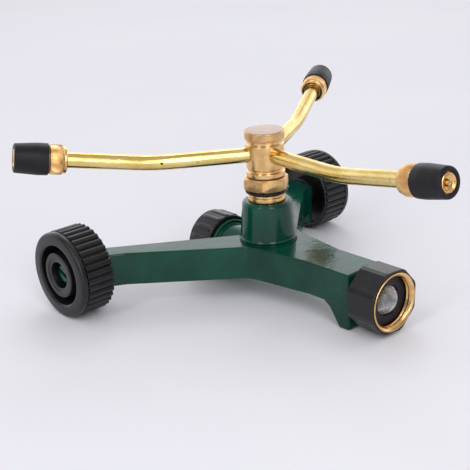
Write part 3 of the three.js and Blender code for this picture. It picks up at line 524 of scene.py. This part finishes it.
def baseCasting():
    part = casting
    padFront, padRear = part["axleY"] - part["padHalf"], part["axleY"] + part["padHalf"]
    frontCurve = part["padBack"] - part["padFrontCurve"]
    rearCurve = part["padBack"] - part["padRearCurve"]
    rightSide = [
        [part["inletHalf"], -part["inletReach"], part["corner"]],
        [part["inletHalf"], part["taperFrom"], part["taperFillet"]],
        [part["rootHalf"], part["rootAt"], part["rootFillet"]],
        [part["wheelRootAt"], wheelArmEdge(part["wheelRootAt"], -1), part["wheelRootFillet"]],
        [frontCurve, wheelArmEdge(frontCurve, -1), part["padFillet"]],
        [part["padBack"], padFront, part["corner"]],
        [part["padFace"], padFront, part["corner"]],
        [part["padFace"], padRear, part["corner"]],
        [part["padBack"], padRear, part["corner"]],
        [rearCurve, wheelArmEdge(rearCurve, 1), part["padFillet"]],
    ]
    plan = bothSides(rightSide, [[0, wheelArmEdge(0, 1), part["rootFillet"]]])
    piece = extruded("base_shell", plan, part["armUnder"], part["armTop"], part["edge"], 6)

    # the hollows under the wheel arms
    wall = part["wall"] / math.cos(math.radians(part["wheelAngle"]))
    start = part["pedestalRadius"] + part["hollowStart"]
    end = part["padBack"] - part["wall"] - part["hollowEnd"]
    wide, narrow = part["hollowFillets"]
    for side in (1, -1):
        hollow = [[side * start, wheelArmEdge(start, -1) + wall, wide],
                  [side * end, wheelArmEdge(end, -1) + wall, narrow],
                  [side * end, wheelArmEdge(end, 1) - wall, narrow],
                  [side * start, wheelArmEdge(start, 1) - wall, wide]]
        combine(piece, extruded("hollow", hollow, part["armUnder"] - 1, part["armTop"] - part["wall"] - 1))

    # foot under the front of the inlet arm
    front, back = -part["inletReach"] + part["footInset"], -part["inletReach"] + part["footDepth"]
    inArm, end = part["armTop"] - part["footLap"], back + part["footRun"]
    side = [[front, inArm], [front, 0, part["corner"]], [back, 0, part["corner"]],
            [back + part["footStep"], part["armUnder"] - 3, 2],
            [end, part["armUnder"] + part["lap"]], [end, inArm]]
    half = part["inletHalf"] - part["footMargin"]
    foot = extruded("foot", side, -half, half, part["edge"], 5)
    turn = Matrix.Rotation(math.radians(90), 4, "Z") @ Matrix.Rotation(math.radians(90), 4, "X")
    combine(piece, moved(foot, turn), "UNION")

    for side in (1, -1):
        near = side * (part["padBack"] + part["padInset"])
        far = side * (part["padFace"] - part["padInset"])
        fore, aft, corner = padFront + part["padMargin"], padRear - part["padMargin"], part["padCorner"]
        padPlan = [[near, fore, corner], [far, fore, corner], [far, aft, corner], [near, aft, corner]]
        pad = extruded("pad", padPlan, part["padBottom"], part["armTop"] - part["padDrop"], part["padEdge"])
        combine(piece, pad, "UNION")
        boss, bossTo, inPad = part["axleBoss"], part["axleBossTo"], part["padFace"] - 1
        pin, head, headFrom = part["axleRadius"], part["axleHead"], part["axleHeadFrom"]
        stub = turned("stub", [[0, inPad], [boss, inPad], [boss, bossTo, 0.3], [pin, bossTo], [pin, headFrom],
                               [head, headFrom], [head, headFrom + part["axleLead"], 0.6],
                               [pin - 0.4, part["axleEnd"], 0.5], [0, part["axleEnd"]]], 48)
        reach, thick = part["slitReach"], part["slitHalf"]
        slit = extruded("slit", [[-reach, -thick], [reach, -thick], [reach, thick], [-reach, thick]],
                        part["slitFrom"], part["slitTo"])
        combine(stub, moved(slit, Matrix.Rotation(math.radians(part["slitTurn"]), 4, "Z")))
        axle = Matrix.Translation((0, part["axleY"] * mm, part["axleZ"] * mm))
        combine(piece, moved(stub, axle @ Matrix.Rotation(math.radians(side * 90), 4, "Y")), "UNION")

    # pedestal with its bead
    bead = part["armTop"] + part["beadRise"]
    radius = part["pedestalRadius"]
    skirt, base = radius + part["skirt"], part["armUnder"] + part["lap"]
    pedestal = turned("pedestal", [
        [0, base], [skirt, base], [skirt, part["armTop"] - 1.4, 0.5],
        [radius, part["armTop"] - 0.2, 0.5], [radius, bead - 1, 0.3], [part["beadRadius"], bead - 0.6, 0.35],
        [part["beadRadius"], bead, 0.35], [radius - 0.1, bead + 0.6, 0.4],
        [part["pedestalTopRadius"], part["pedestalTop"], 1.7], [0, part["pedestalTop"]]], 120)
    combine(piece, pedestal, "UNION")

    # outlet spigot with its thread and stop collar
    root = part["threadRadius"] - part["threadDepth"]
    plain, collar, low = part["spigotRadius"], part["collarRadius"], part["spigotFrom"]
    spigot = [[0, low], [plain, low], [plain, part["collarAt"], 0.5], [collar, part["collarAt"], 0.5],
              [collar, part["collarEnd"], 0.5], [root, part["collarEnd"]]]
    for turn in range(part["threadTurns"]):
        start = part["threadFrom"] + turn * part["threadPitch"]
        spigot += [[root, start, 0.2], [part["threadRadius"], start + 0.5 * part["threadPitch"], 0.2]]
    end = part["spigotEnd"]
    spigot += [[root, end - 0.4, 0.2], [root - 0.4, end], [0, end]]
    combine(piece, moved(turned("spigot", spigot), hoseAt @ toOutlet), "UNION")

    neck, low = part["neckRadius"], part["inletReach"] - part["neckLap"]
    high = part["inletReach"] + part["neckLength"]
    neckPiece = turned("neck", [[0, low], [neck, low], [neck, high, 0.5], [0, high]])
    combine(piece, moved(neckPiece, hoseAt @ toInlet), "UNION")

    # bores: tailpiece seat, outlet and the bush's seat; the first is turned clear of the neck's own edges
    seat = rod("seat", part["seatBore"], part["seatFrom"], part["seatTo"])
    combine(piece, moved(seat, hoseAt @ toInlet @ Matrix.Rotation(math.radians(part["seatTurn"]), 4, "Z")))
    outlet = rod("outlet", part["outletBore"], part["outletFrom"], part["outletTo"])
    combine(piece, moved(outlet, hoseAt @ toOutlet))
    combine(piece, rod("bush seat", part["bushBore"], part["bushFrom"], part["bushTo"]))

    finished(piece, onRotor, "base", green, "green_enamel", "base_casting", smooth=32, weighted=True)


hoseAt = Matrix.Translation((0, 0, casting["hoseZ"] * mm))
toInlet = Matrix.Rotation(math.radians(90), 4, "X")
toOutlet = Matrix.Rotation(math.radians(-90), 4, "X")
baseCasting()
print("base casting done")


stack = {
    "bushRadius": 8.6, "bushFrom": 38.2, "collarAt": 52.5, "collarTop": 56.4, "collarRadius": 10.1,
    "sealFrom": 56.7, "sealTo": 58.7, "sealRadius": 11.4,
    "hexFrom": 59, "hexTo": 65.6, "hexCorners": 25.6, "hexTurn": 38, "shankRadius": 6.5, "shankLength": 15,
    "bore": 5, "bushBore": 6.8, "grooveFrom": 2.6, "grooveTo": 2.8, "grooveDepth": 0.75,
}


def pedestalBush():
    part = stack
    low, top, out, inner = part["collarAt"], part["collarTop"], part["collarRadius"], part["bushBore"]
    groove, grooveFrom, grooveTo = out - part["grooveDepth"], low + part["grooveFrom"], low + part["grooveTo"]
    piece = turned("pedestal_bush_turned", [
        [inner, part["bushFrom"]], [part["bushRadius"], part["bushFrom"]], [part["bushRadius"], low],
        [out, low, 0.25], [out, grooveFrom - 0.15, 0.3], [groove, grooveFrom, 0.05], [groove, grooveTo, 0.05],
        [out - 0.3, grooveTo + 0.15, 0.15], [out - 0.3, top, 0.25], [inner, top]], 96, True)
    finished(piece, onRotor, "base", brass, "turned_brass", "pedestal_bush")


def postSeal():
    part = stack
    inner, out, low, high = part["bushBore"], part["sealRadius"], part["sealFrom"], part["sealTo"]
    piece = turned("post_seal_ring", [
        [inner, low, 0.3], [out, low, 0.8], [out, high, 0.8], [inner, high, 0.3]], 96, True)
    finished(piece, onRotor, "base", rubber, "black_rubber", "post_seal")


def glandNut():
    part = stack
    radius, low, high = part["hexCorners"] / 2, part["hexFrom"], part["hexTo"]
    flat = radius * math.cos(math.radians(30))
    hexagon = [[radius * math.cos(math.radians(60 * side + part["hexTurn"])),
                radius * math.sin(math.radians(60 * side + part["hexTurn"]))] for side in range(6)]
    piece = extruded("gland_nut_hex", hexagon, low - 1, high + 1)
    chamfer = turned("chamfer", [[0, low], [flat + 0.4, low, 0.3], [radius + 0.1, low + 0.9, 0.3],
                                 [radius + 0.1, high - 1.45, 0.5], [flat - 0.25, high, 0.4], [0, high]], 96)
    # each tool is turned a little, so that its facets don't meet the hexagon's corners
    combine(piece, moved(chamfer, Matrix.Rotation(math.radians(1), 4, "Z")), "INTERSECT")
    aside = Matrix.Rotation(math.radians(2), 4, "Z")
    shankEnd = low - part["shankLength"]
    combine(piece, moved(rod("shank", part["shankRadius"], shankEnd, low + 1), aside), "UNION")
    combine(piece, moved(rod("bore", part["bore"], shankEnd - 1, high + 1), aside))
    roundEdges(piece, 0.18, 2, 25)
    finished(piece, onRotor, "base", satinBrass, "turned_brass", "gland_nut", smooth=25)


pedestalBush()
postSeal()
glandNut()
print("bearing stack done")


inlet = {
    "nutBack": 72.5, "nutFront": 89.5, "nutRadius": 15.25, "nutBore": 13.7, "backBore": 8.35, "lipFront": 77.1,
    "threadDepth": 0.8, "threadPitch": 2.21, "threadTurns": 2, "threadRim": 0.65,
    "gripCorner": 17.5, "gripChamfer": 3, "gripTurn": 19, "gripSides": 8, "gripBlank": 20, "gripGap": 0.25,
    "washerBack": 82.45, "washerFront": 85.25, "washerBore": 7.8, "washerRadius": 12.7,
    "filterRadius": 7.5, "filterRim": 83.05, "domeHeight": 4.4, "domeRise": 0.75, "filterWall": 0.7,
    "wires": 25, "wireRadius": 0.13, "wireMargin": 0.15,
}


def inletNut():
    part = inlet
    front, back, bore = part["nutFront"], part["nutBack"], part["nutBore"]
    out, rim = part["nutRadius"], part["threadRim"]
    outline = [[part["backBore"], back], [out, back, 0.3], [out, front - 0.2, 0.15],
               [out - 0.2, front, 0.1], [out - rim, front, 0.15]]
    for turn in range(part["threadTurns"]):
        start = front - rim - turn * part["threadPitch"]
        outline += [[bore, start, 0.25], [bore - part["threadDepth"], start - 0.5 * part["threadPitch"], 0.25]]
    outline += [[bore, part["washerFront"]], [bore, part["lipFront"]], [part["backBore"], part["lipFront"]]]
    piece = turned("inlet_nut_ring", outline, 128, True)
    finished(piece, inletLine, "inlet_coupling", brass, "turned_brass", "inlet_nut")


def inletGrip():
    part = inlet
    sides = part["gripSides"]
    corners = []
    for side in range(sides):
        angle = math.radians(360 / sides * side + part["gripTurn"])
        corners.append([part["gripCorner"] * math.cos(angle), part["gripCorner"] * math.sin(angle),
                        part["gripChamfer"]])
    back, front = part["nutBack"], part["nutFront"] - 0.5
    inner, blank = part["nutRadius"] + part["gripGap"], part["gripBlank"]
    ring = [[inner, back, 0.2], [blank, back], [blank, front], [inner, front, 0.2]]
    piece = turned("inlet_grip_sleeve", ring, 128, True)
    combine(piece, extruded("facets", corners, back - 1, front + 1, arcSteps=1), "INTERSECT")
    roundEdges(piece, 0.3, 2, 25)
    finished(piece, inletLine, "inlet_coupling", plastic, "black_plastic", "inlet_grip", smooth=20)


def inletWasher():
    part = inlet
    inner, out, back, front = (part[key] for key in ("washerBore", "washerRadius", "washerBack", "washerFront"))
    piece = turned("inlet_washer_ring", [
        [inner, back, 0.3], [out, back, 0.5], [out, front, 0.6], [inner, front, 0.5]], 96, True)
    finished(piece, inletLine, "base", rubber, "black_rubber", "inlet_washer")


# wires run one way over and under those that run the other way
def wireSet(name, crossways):
    part = inlet
    steps = part["wires"] * 2
    side = part["filterRadius"] * 2 * mm
    deselectAll()
    bpy.ops.mesh.primitive_grid_add(x_subdivisions=steps, y_subdivisions=steps, size=side)
    piece = bpy.context.object
    piece.name = piece.data.name = name
    pitch = side / steps
    edge = part["filterRadius"]
    sphere = (edge ** 2 + part["domeHeight"] ** 2) / (2 * part["domeHeight"])
    top = part["filterRim"] + part["domeRise"] + part["domeHeight"]
    keep = {}
    for vertex in piece.data.vertices:
        x, y = vertex.co.x, vertex.co.y
        across, alongWire = round((x if crossways else y) / pitch), round((y if crossways else x) / pitch)
        keep[vertex.index] = across % 2 and math.hypot(x, y) < (edge - part["wireMargin"]) * mm
        over = 0 if alongWire % 2 == 0 else (-1) ** ((across + alongWire) // 2 + crossways)
        reach = min(math.hypot(x, y) / mm, edge)
        height = top - sphere + math.sqrt(sphere ** 2 - reach ** 2)
        vertex.co.z = (height + over * part["wireRadius"]) * mm
    pick(piece)
    bpy.ops.object.mode_set(mode="EDIT")
    bpy.ops.mesh.select_mode(type="VERT")
    bpy.ops.mesh.select_all(action="DESELECT")
    bpy.ops.object.mode_set(mode="OBJECT")
    for vertex in piece.data.vertices:
        vertex.select = not keep[vertex.index]
    bpy.ops.object.mode_set(mode="EDIT")
    bpy.ops.mesh.delete(type="VERT")
    bpy.ops.object.mode_set(mode="OBJECT")
    bpy.ops.object.convert(target="CURVE")
    piece = bpy.context.object
    piece.data.bevel_depth = part["wireRadius"] * mm
    piece.data.bevel_resolution = 0
    piece.data.use_fill_caps = True
    bpy.ops.object.convert(target="MESH")
    return bpy.context.object


def inletFilter():
    part = inlet
    rim, out = part["filterRim"], part["filterRadius"]
    inner = out - part["filterWall"]
    weave = wireSet("filter_weave", 0)
    cross = wireSet("filter_cross", 1)
    ring = turned("filter_rim", [[inner, rim], [out, rim, 0.1], [out, rim + 1.2, 0.3], [inner, rim + 1.5, 0.3]],
                  72, True)
    pick(weave)
    cross.select_set(True)
    ring.select_set(True)
    bpy.ops.object.join()
    editAll(weave)
    closeUp()
    finished(weave, inletLine, "base", steel, "stainless_steel", "inlet_filter", smooth=60)


inletNut()
inletGrip()
inletWasher()
inletFilter()
print("inlet done")


cap = {"mouth": 33, "end": 50.1, "radius": 16.9, "bore": 13.7, "floor": 47.1, "ribs": 16, "ribHeight": 0.6,
       "ribTurn": 12.5, "ribFrom": 1.2, "ribTo": 2.2, "ribSteps": 6, "dish": 0.5, "dishRim": 3}


def outletCap():
    part = cap
    mouth, end, radius = part["mouth"], part["end"], part["radius"]
    low, high, steps = mouth + part["ribFrom"], end - part["ribTo"], part["ribSteps"]
    band = [[radius, low + (high - low) * step / steps] for step in range(steps + 1)]
    dishRadius, dishFloor = radius - part["dishRim"], end - part["dish"]
    outline = [[0, part["floor"]], [part["bore"], part["floor"]], [part["bore"], mouth, 0.3],
               [radius - 0.4, mouth, 0.4], [radius, mouth + 0.8], *band,
               [radius, end - 1.4], [radius - 1.4, end, 0.8], [dishRadius, end, 0.3],
               [dishRadius - 0.6, dishFloor, 0.3], [0, dishFloor]]
    ridges = [0, 0, 0, 0.4, 0.9, 1, 1, 0.9, 0.4, 0, 0, 0]
    piece = turned("outlet_cap_moulded", outline, part["ribs"] * len(ridges))
    ridge(piece, part["ribs"], ridges, part["ribHeight"], radius, low, high)
    turn = Matrix.Rotation(math.radians(part["ribTurn"]), 4, "Z")
    finished(piece, outletLine @ turn, "outlet_plug", plastic, "black_plastic", "outlet_cap")


outletCap()
print("outlet done")


wheel = {"radius": 23.5, "width": 20.7, "face": 80, "ridges": 36, "ridgeDepth": 1.35, "ridgeSteps": 6,
         "shoulder": 4, "bore": 5.35, "boss": 9, "recess": 6, "rim": 3, "groove": 16.4, "grooveDepth": 11,
         "hub": 12.2, "hubDish": 9.4, "counterbore": 7.2, "boreDepth": 12.4, "ridgeTurn": 7}


def wheelPiece(name, side, body, node):
    part = wheel
    radius, width = part["radius"], part["width"]
    tread = radius - part["ridgeDepth"]
    ridgeTop = width - part["shoulder"]
    steps = part["ridgeSteps"]
    band = [[tread, 0.9 + (ridgeTop - 1.1) * step / steps] for step in range(steps + 1)]
    rim, recess, boss = radius - part["rim"], part["recess"], part["boss"]
    groove, bottom, middle = part["groove"], width - part["grooveDepth"], part["hub"]
    dish, counterbore = part["hubDish"], part["counterbore"]
    outline = [
        [part["bore"], 0], [boss, 0, 0.5], [boss + 0.4, recess], [rim - 0.3, recess, 1],
        [rim, 0, 0.5], [tread - 0.3, 0, 0.3], [tread, 0.5], *band,
        [tread + 0.2, ridgeTop + 0.2], [radius - 0.2, ridgeTop + 0.5, 0.3], [radius - 0.3, width - 0.2, 1.6],
        [groove + 1, width, 0.4], [groove, width - 0.6, 0.4], [groove - 0.3, bottom, 0.5],
        [middle + 0.3, bottom, 0.5], [middle, width - 0.6, 0.3], [middle - 0.5, width - 0.3, 0.2],
        [dish, width - 0.3, 0.2], [dish - 0.3, width - 0.7, 0.2], [counterbore, width - 0.8, 0.4],
        [counterbore, part["boreDepth"]], [part["bore"], part["boreDepth"]]]
    ridges = [0, 0.5, 0.8, 0.95, 1, 1, 0.95, 0.8, 0.5, 0]
    piece = turned(name, outline, part["ridges"] * len(ridges), True, 3)
    ridge(piece, part["ridges"], ridges, part["ridgeDepth"], tread, 0.8, ridgeTop)
    roll = Vector(joints[body.replace("_body", "_roll")]["pos_m"])
    place = Matrix.Translation((side * part["face"] * mm, roll.y, roll.z))
    outward = Matrix.Rotation(math.radians(side * 90), 4, "Y")
    turn = Matrix.Rotation(math.radians(part["ridgeTurn"]), 4, "Z")
    finished(piece, place @ outward @ turn, body, plastic, "black_plastic", node)


wheelPiece("wheel_left_moulded", -1, "wheel_left_body", "wheel_left")
wheelPiece("wheel_right_moulded", 1, "wheel_right_body", "wheel_right")
print("wheels done")


hub = {"radius": 10.2, "bottom": 66.2, "floor": 66.9, "top": 85.7, "bore": 5.05, "armHeight": 77.7,
       "neckDepth": 0.7, "topNeckDepth": 0.85, "seatRadius": 8.4, "seatDepth": 1.8,
       "socketFrom": 7.4, "socketTo": 12, "socketGap": 0.05,
       "capRadius": 10.7, "capFrom": 86, "capTo": 90.8, "spigot": 8.1, "spigotBore": 6.9, "spigotDrop": 0.8,
       "capHollow": 2.5}


def rotorHub():
    part = hub
    out, low, top, bore = part["radius"], part["bottom"], part["top"], part["bore"]
    neck, topNeck = out - part["neckDepth"], out - part["topNeckDepth"]
    seat, seatFloor = part["seatRadius"], top - part["seatDepth"]
    piece = turned("rotor_hub_turned", [
        [bore, part["floor"]], [out - 0.8, part["floor"]], [out - 0.8, low],
        [out + 0.2, low, 0.35], [out + 0.2, low + 2.5, 0.45], [neck, low + 2.75, 0.5],
        [neck, low + 3.9, 0.6], [out, low + 4.5, 0.5], [out, top - 2.1, 0.6], [topNeck, top - 1.6, 0.6],
        [topNeck, top], [seat, top], [seat, seatFloor], [bore, seatFloor]], 120, True)
    outward = Matrix.Rotation(math.radians(90 - arms["innerRise"]), 4, "Y")
    for azimuth in arms["azimuths"]:
        socket = rod("socket", arms["radius"] + part["socketGap"], part["socketFrom"], part["socketTo"])
        turn = Matrix.Rotation(math.radians(azimuth), 4, "Z") @ outward
        combine(piece, moved(socket, Matrix.Translation((0, 0, part["armHeight"] * mm)) @ turn))
    finished(piece, onRotor, "rotor", brass, "turned_brass", "rotor_hub")


def hubCap():
    part = hub
    out, low, top = part["capRadius"], part["capFrom"], part["capTo"]
    inner, spigot = part["spigotBore"], part["spigot"]
    end, hollow = low - part["spigotDrop"], low + part["capHollow"]
    piece = turned("hub_cap_turned", [
        [0, hollow], [inner, hollow], [inner, end], [spigot, end], [spigot, low],
        [out - 0.4, low, 0.15], [out, low + 0.5, 0.3],
        [out, top - 0.5, 0.4], [out - 0.5, top, 0.4], [0, top]], 120)
    finished(piece, onRotor, "rotor", dullBrass, "turned_brass", "hub_cap")


arms = {"azimuths": [151, 263, 29], "radius": 4.05, "wall": 0.8, "start": 7.9, "sides": 56,
        "innerRun": 59.5, "innerRise": 1.3, "innerSteps": 6, "outerRun": 45.5, "outerRise": 9.6,
        "outerSweep": 3.2, "outerSteps": 4, "bendTangent": 9, "bendSteps": 12, "seat": 8.6,
        "jetRadius": 0.65, "jetSetback": 3.5, "jetRaise": 0.6, "jetDepth": 7}


def direction(rise, sweep):
    rise, sweep = math.radians(rise), math.radians(sweep)
    return Vector((math.cos(rise) * math.cos(sweep), math.cos(rise) * math.sin(sweep), math.sin(rise)))


# made in the arm's own axes, with X outward from the hub
def armTube():
    part = arms
    inner, outer = direction(part["innerRise"], 0), direction(part["outerRise"], part["outerSweep"])
    bendStart = inner * (part["innerRun"] - part["bendTangent"]) * mm
    start = inner * part["start"] * mm
    deselectAll()
    bpy.ops.mesh.primitive_circle_add(vertices=part["sides"], radius=part["radius"] * mm, location=start,
                                      rotation=inner.to_track_quat("Z", "Y").to_euler())
    piece = bpy.context.object
    bpy.ops.object.transform_apply(location=True, rotation=True, scale=True)
    bpy.ops.object.mode_set(mode="EDIT")
    bpy.ops.mesh.select_all(action="SELECT")
    for step in range(part["innerSteps"]):
        run = (bendStart - start) / part["innerSteps"]
        bpy.ops.mesh.extrude_region_move(TRANSFORM_OT_translate={"value": run})
    angle = inner.angle(outer)
    inward = (outer - inner * inner.dot(outer)).normalized()
    centre = bendStart + inward * (part["bendTangent"] * mm / math.tan(angle / 2))
    axis = inner.cross(outer).normalized()
    bpy.ops.mesh.spin(steps=part["bendSteps"], angle=-angle, center=centre, axis=axis)
    rest = (part["outerRun"] - part["bendTangent"] + part["seat"]) * mm
    for step in range(part["outerSteps"]):
        bpy.ops.mesh.extrude_region_move(TRANSFORM_OT_translate={"value": outer * rest / part["outerSteps"]})
    closeUp()
    useModifier(piece, "SOLIDIFY", thickness=part["wall"] * mm, offset=-1, use_even_offset=True)
    jet = rod("jet", part["jetRadius"], 0, part["jetDepth"], 20)
    at = inner * (part["innerRun"] - part["jetSetback"]) * mm + Vector((0, 0, part["jetRaise"] * mm))
    combine(piece, moved(jet, Matrix.Translation(at) @ Matrix.Rotation(math.radians(-90), 4, "X")))
    return piece


rotorHub()
hubCap()
tube = armTube()
for index, azimuth in enumerate(arms["azimuths"], 1):
    piece = ownCopy(tube, f"arm_tube_{index}_bent")
    place = Matrix.Translation(rotorAt) @ Matrix.Rotation(math.radians(azimuth), 4, "Z")
    finished(piece, place, "rotor", tubeFinish, "polished_brass", f"arm_tube_{index}")
bpy.data.objects.remove(tube)
print("rotor done")


nozzle = {"bore": 5.65, "shoulder": 6.8, "shoulderTo": 1.5, "nut": 7.6, "nutTo": 8.9, "teeth": 84,
          "toothDepth": 0.22, "seat": 6.5, "length": 26.4, "noseFrom": 25.2, "nose": 4.75, "gap": 0.3,
          "dish": 4.1, "throat": 1.5, "throatFrom": 2.3, "throatCone": 5.5,
          "sleeveBack": 8.2, "sleeveFront": 7.45, "sleeveFrom": 9.2, "sleeveTo": 26.4,
          "needleRoot": 1.9, "needleTip": 1.15, "needle": 9.9, "stem": 5, "stemTo": 16.6, "stemFrom": 0.4,
          "stemBore": 3.25, "stemFloor": 14}


def nozzleBarrel():
    part = nozzle
    end = part["length"]
    root = part["nut"] - part["toothDepth"]
    low, high = part["shoulderTo"] + 1.2, part["nutTo"] - 0.5
    shoulder, nose, throat = part["shoulder"], part["nose"], part["throat"]
    outline = [
        [part["bore"], 0], [shoulder - 0.4, 0, 0.2], [shoulder, 0.4, 0.2],
        [shoulder, part["shoulderTo"]], [root - 0.35, part["shoulderTo"] + 0.2, 0.2],
        [root, low - 0.4], [root, low], [root, (low + high) / 2], [root, high], [root, high + 0.15],
        [root - 0.3, part["nutTo"]], [part["seat"], part["nutTo"]], [part["seat"], part["noseFrom"]],
        [nose, part["noseFrom"]], [nose, end - 0.3, 0.2], [nose - 0.35, end, 0.2],
        [part["dish"], end, 0.3], [part["dish"] - 0.9, end - 0.9, 1.2], [throat + 0.2, end - 1.5, 0.3],
        [throat, end - part["throatFrom"]], [part["bore"], end - part["throatCone"]]]
    teeth = [0, 0.1, 1, 0.9]
    piece = turned("barrel", outline, part["teeth"] * len(teeth), True)
    ridge(piece, part["teeth"], teeth, part["toothDepth"], root, low - 0.1, high + 0.05)
    return piece


def nozzleGrip():
    part = nozzle
    low, high, back, front = part["sleeveFrom"], part["sleeveTo"], part["sleeveBack"], part["sleeveFront"]
    inner, seat, step = part["nose"] + part["gap"], part["seat"] + part["gap"], part["noseFrom"] + part["gap"]
    return turned("grip", [
        [seat, low], [back - 0.1, low, 0.35], [back, low + 5, 3], [front, high - 0.5, 0.6],
        [front - 0.7, high, 0.5], [inner + 0.3, high, 0.3], [inner, high - 0.5], [inner, step],
        [seat, step]], 96, True, 6)


def nozzleStem():
    part = nozzle
    inside, bore, floor = arms["radius"] + part["gap"], part["stemBore"], part["stemFloor"]
    stem, low, high, tip = part["stem"], part["stemFrom"], part["stemTo"], part["stemTo"] + part["needle"]
    tubeEnd = arms["seat"] + part["gap"]
    return turned("stem", [
        [0, floor], [bore, floor], [bore, tubeEnd], [inside, tubeEnd], [inside, low, 0.1], [stem, low, 0.3],
        [stem, high, 0.4], [part["needleRoot"], high, 0.3], [part["needleTip"], tip, 0.4], [0, tip]], 48)


nozzleParts = [
    (nozzleBarrel(), "nozzle_barrel", "nozzle_head", brass, "turned_brass"),
    (nozzleGrip(), "nozzle_grip", "nozzle_head", rubber, "black_rubber"),
    (nozzleStem(), "nozzle_stem", "rotor", brass, "turned_brass"),
]
for index in (1, 2, 3):
    place = along(f"nozzle_twist_{index}")
    for made, name, body, finish, slot in nozzleParts:
        piece = ownCopy(made, f"{name}_{index}_turned")
        rides = body if body == "rotor" else f"{body}_{index}"
        finished(piece, place, rides, finish, slot, f"{name}_{index}")
for made, *rest in nozzleParts:
    bpy.data.objects.remove(made)
print("nozzles done")


# inner pieces stay as the CAD has them
kept = {
    "bearing_post": steel, "post_screw": steel, "lower_thrust_washer": polymer, "upper_thrust_washer": polymer,
    "inlet_tailpiece": brass, "outlet_seal": rubber,
    "nozzle_seal_1": rubber, "nozzle_seal_2": rubber, "nozzle_seal_3": rubber,
}
for node, finish in kept.items():
    solid = frame["nodes"][node]
    solid.data.materials.clear()
    solid.data.materials.append(finish)


stage = {"floorSize": 6, "floor": shade(235, 234, 240), "pale": shade(239, 238, 243),
         "sky": shade(248, 248, 252), "front": 0.22, "above": 0.47, "behind": 1.5, "away": (0.653, 0.758)}


class Sky(Finish):
    def __init__(self, name):
        self.world = bpy.data.worlds.new(name)
        self.world.use_nodes = True
        self.tree = self.world.node_tree
        self.shader = self.tree.nodes["Background"]


# dim on the camera's side, brighter overhead and behind the sprinkler
def makeSky():
    part = stage
    sky = Sky("studio")
    look = sky.out(sky.node("TexCoord", {}, {}), "Generated")
    split = sky.node("SeparateXYZ", {}, {"Vector": look})
    across, ahead = part["away"]
    away = sky.out(split, "X") * across + sky.out(split, "Y") * ahead
    height = sky.out(split, "Z")
    above = sky.between(height, 0.15, 0.85)
    low = sky.between(height, 0.3, 0.7, 1, 0)
    level = part["front"] + above * part["above"] + sky.between(away, -0.1, 0.6) * low * part["behind"]
    sky.feed(sky.shader.inputs["Color"], part["sky"])
    sky.feed(sky.shader.inputs["Strength"], level)
    bpy.context.scene.world = sky.world


def makeStage():
    part = stage
    deselectAll()
    bpy.ops.mesh.primitive_plane_add(size=part["floorSize"], location=(0, 0, 0))
    floor = bpy.context.object
    floor.name = "floor"
    finish = Finish("floor paper")
    place = finish.objectPlace()
    tone = finish.between(finish.noise(place, 3, 3), 0.3, 0.7)
    finish.set(Base_Color=finish.blended(tone, part["floor"], part["pale"]), Roughness=0.6 + tone * 0.1,
               Specular_IOR_Level=0.2)
    floor.data.materials.append(finish.material)
    floor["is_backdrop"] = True


def softbox(name, place, aim, width, height, power):
    deselectAll()
    bpy.ops.object.light_add(type="AREA", location=place)
    lamp = bpy.context.object
    lamp.name = name
    lamp.data.shape = "RECTANGLE"
    lamp.data.size, lamp.data.size_y = width, height
    lamp.data.energy = power
    lamp.rotation_euler = (Vector(aim) - Vector(place)).to_track_quat("-Z", "Y").to_euler()
    lamp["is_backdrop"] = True


camera = {"place": (-367.81, -373.18, 235.62), "azimuth": -40.75, "elevation": 20.54, "roll": -3.02,
          "focal": 1062.31, "frame": 470}


def makeCamera():
    part = camera
    a, e, r = (math.radians(part[key]) for key in ("azimuth", "elevation", "roll"))
    back = Vector((math.sin(a) * math.cos(e), -math.cos(a) * math.cos(e), math.sin(e)))
    right = Vector((math.cos(a), math.sin(a), 0))
    up = back.cross(right)
    tiltedRight = math.cos(r) * right + math.sin(r) * up
    tiltedUp = -math.sin(r) * right + math.cos(r) * up
    lens = bpy.data.cameras.new("view")
    view = bpy.data.objects.new("view", lens)
    bpy.context.scene.collection.objects.link(view)
    turn = Matrix((tiltedRight, tiltedUp, back)).transposed().to_4x4()
    view.matrix_world = Matrix.Translation(Vector(part["place"]) * mm) @ turn
    lens.sensor_width = 36
    lens.lens = part["focal"] / part["frame"] * lens.sensor_width
    lens.clip_start, lens.clip_end = 0.01, 20
    bpy.context.scene.camera = view


makeSky()
makeStage()
softbox("left softbox", (-1.29, -0.14, 0.9), (0, 0, 0.06), 0.35, 1.3, 4.6)
softbox("right softbox", (-0.51, -1.2, 0.8), (0, 0, 0.06), 0.5, 1.5, 7.5)
softbox("back softbox", (0.75, 0.87, 1.2), (0.2, 0.25, 0), 0.6, 0.5, 2.6)
makeCamera()
bpy.context.scene.view_settings.view_transform = "Standard"
print("stage done")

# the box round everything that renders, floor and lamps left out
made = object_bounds()
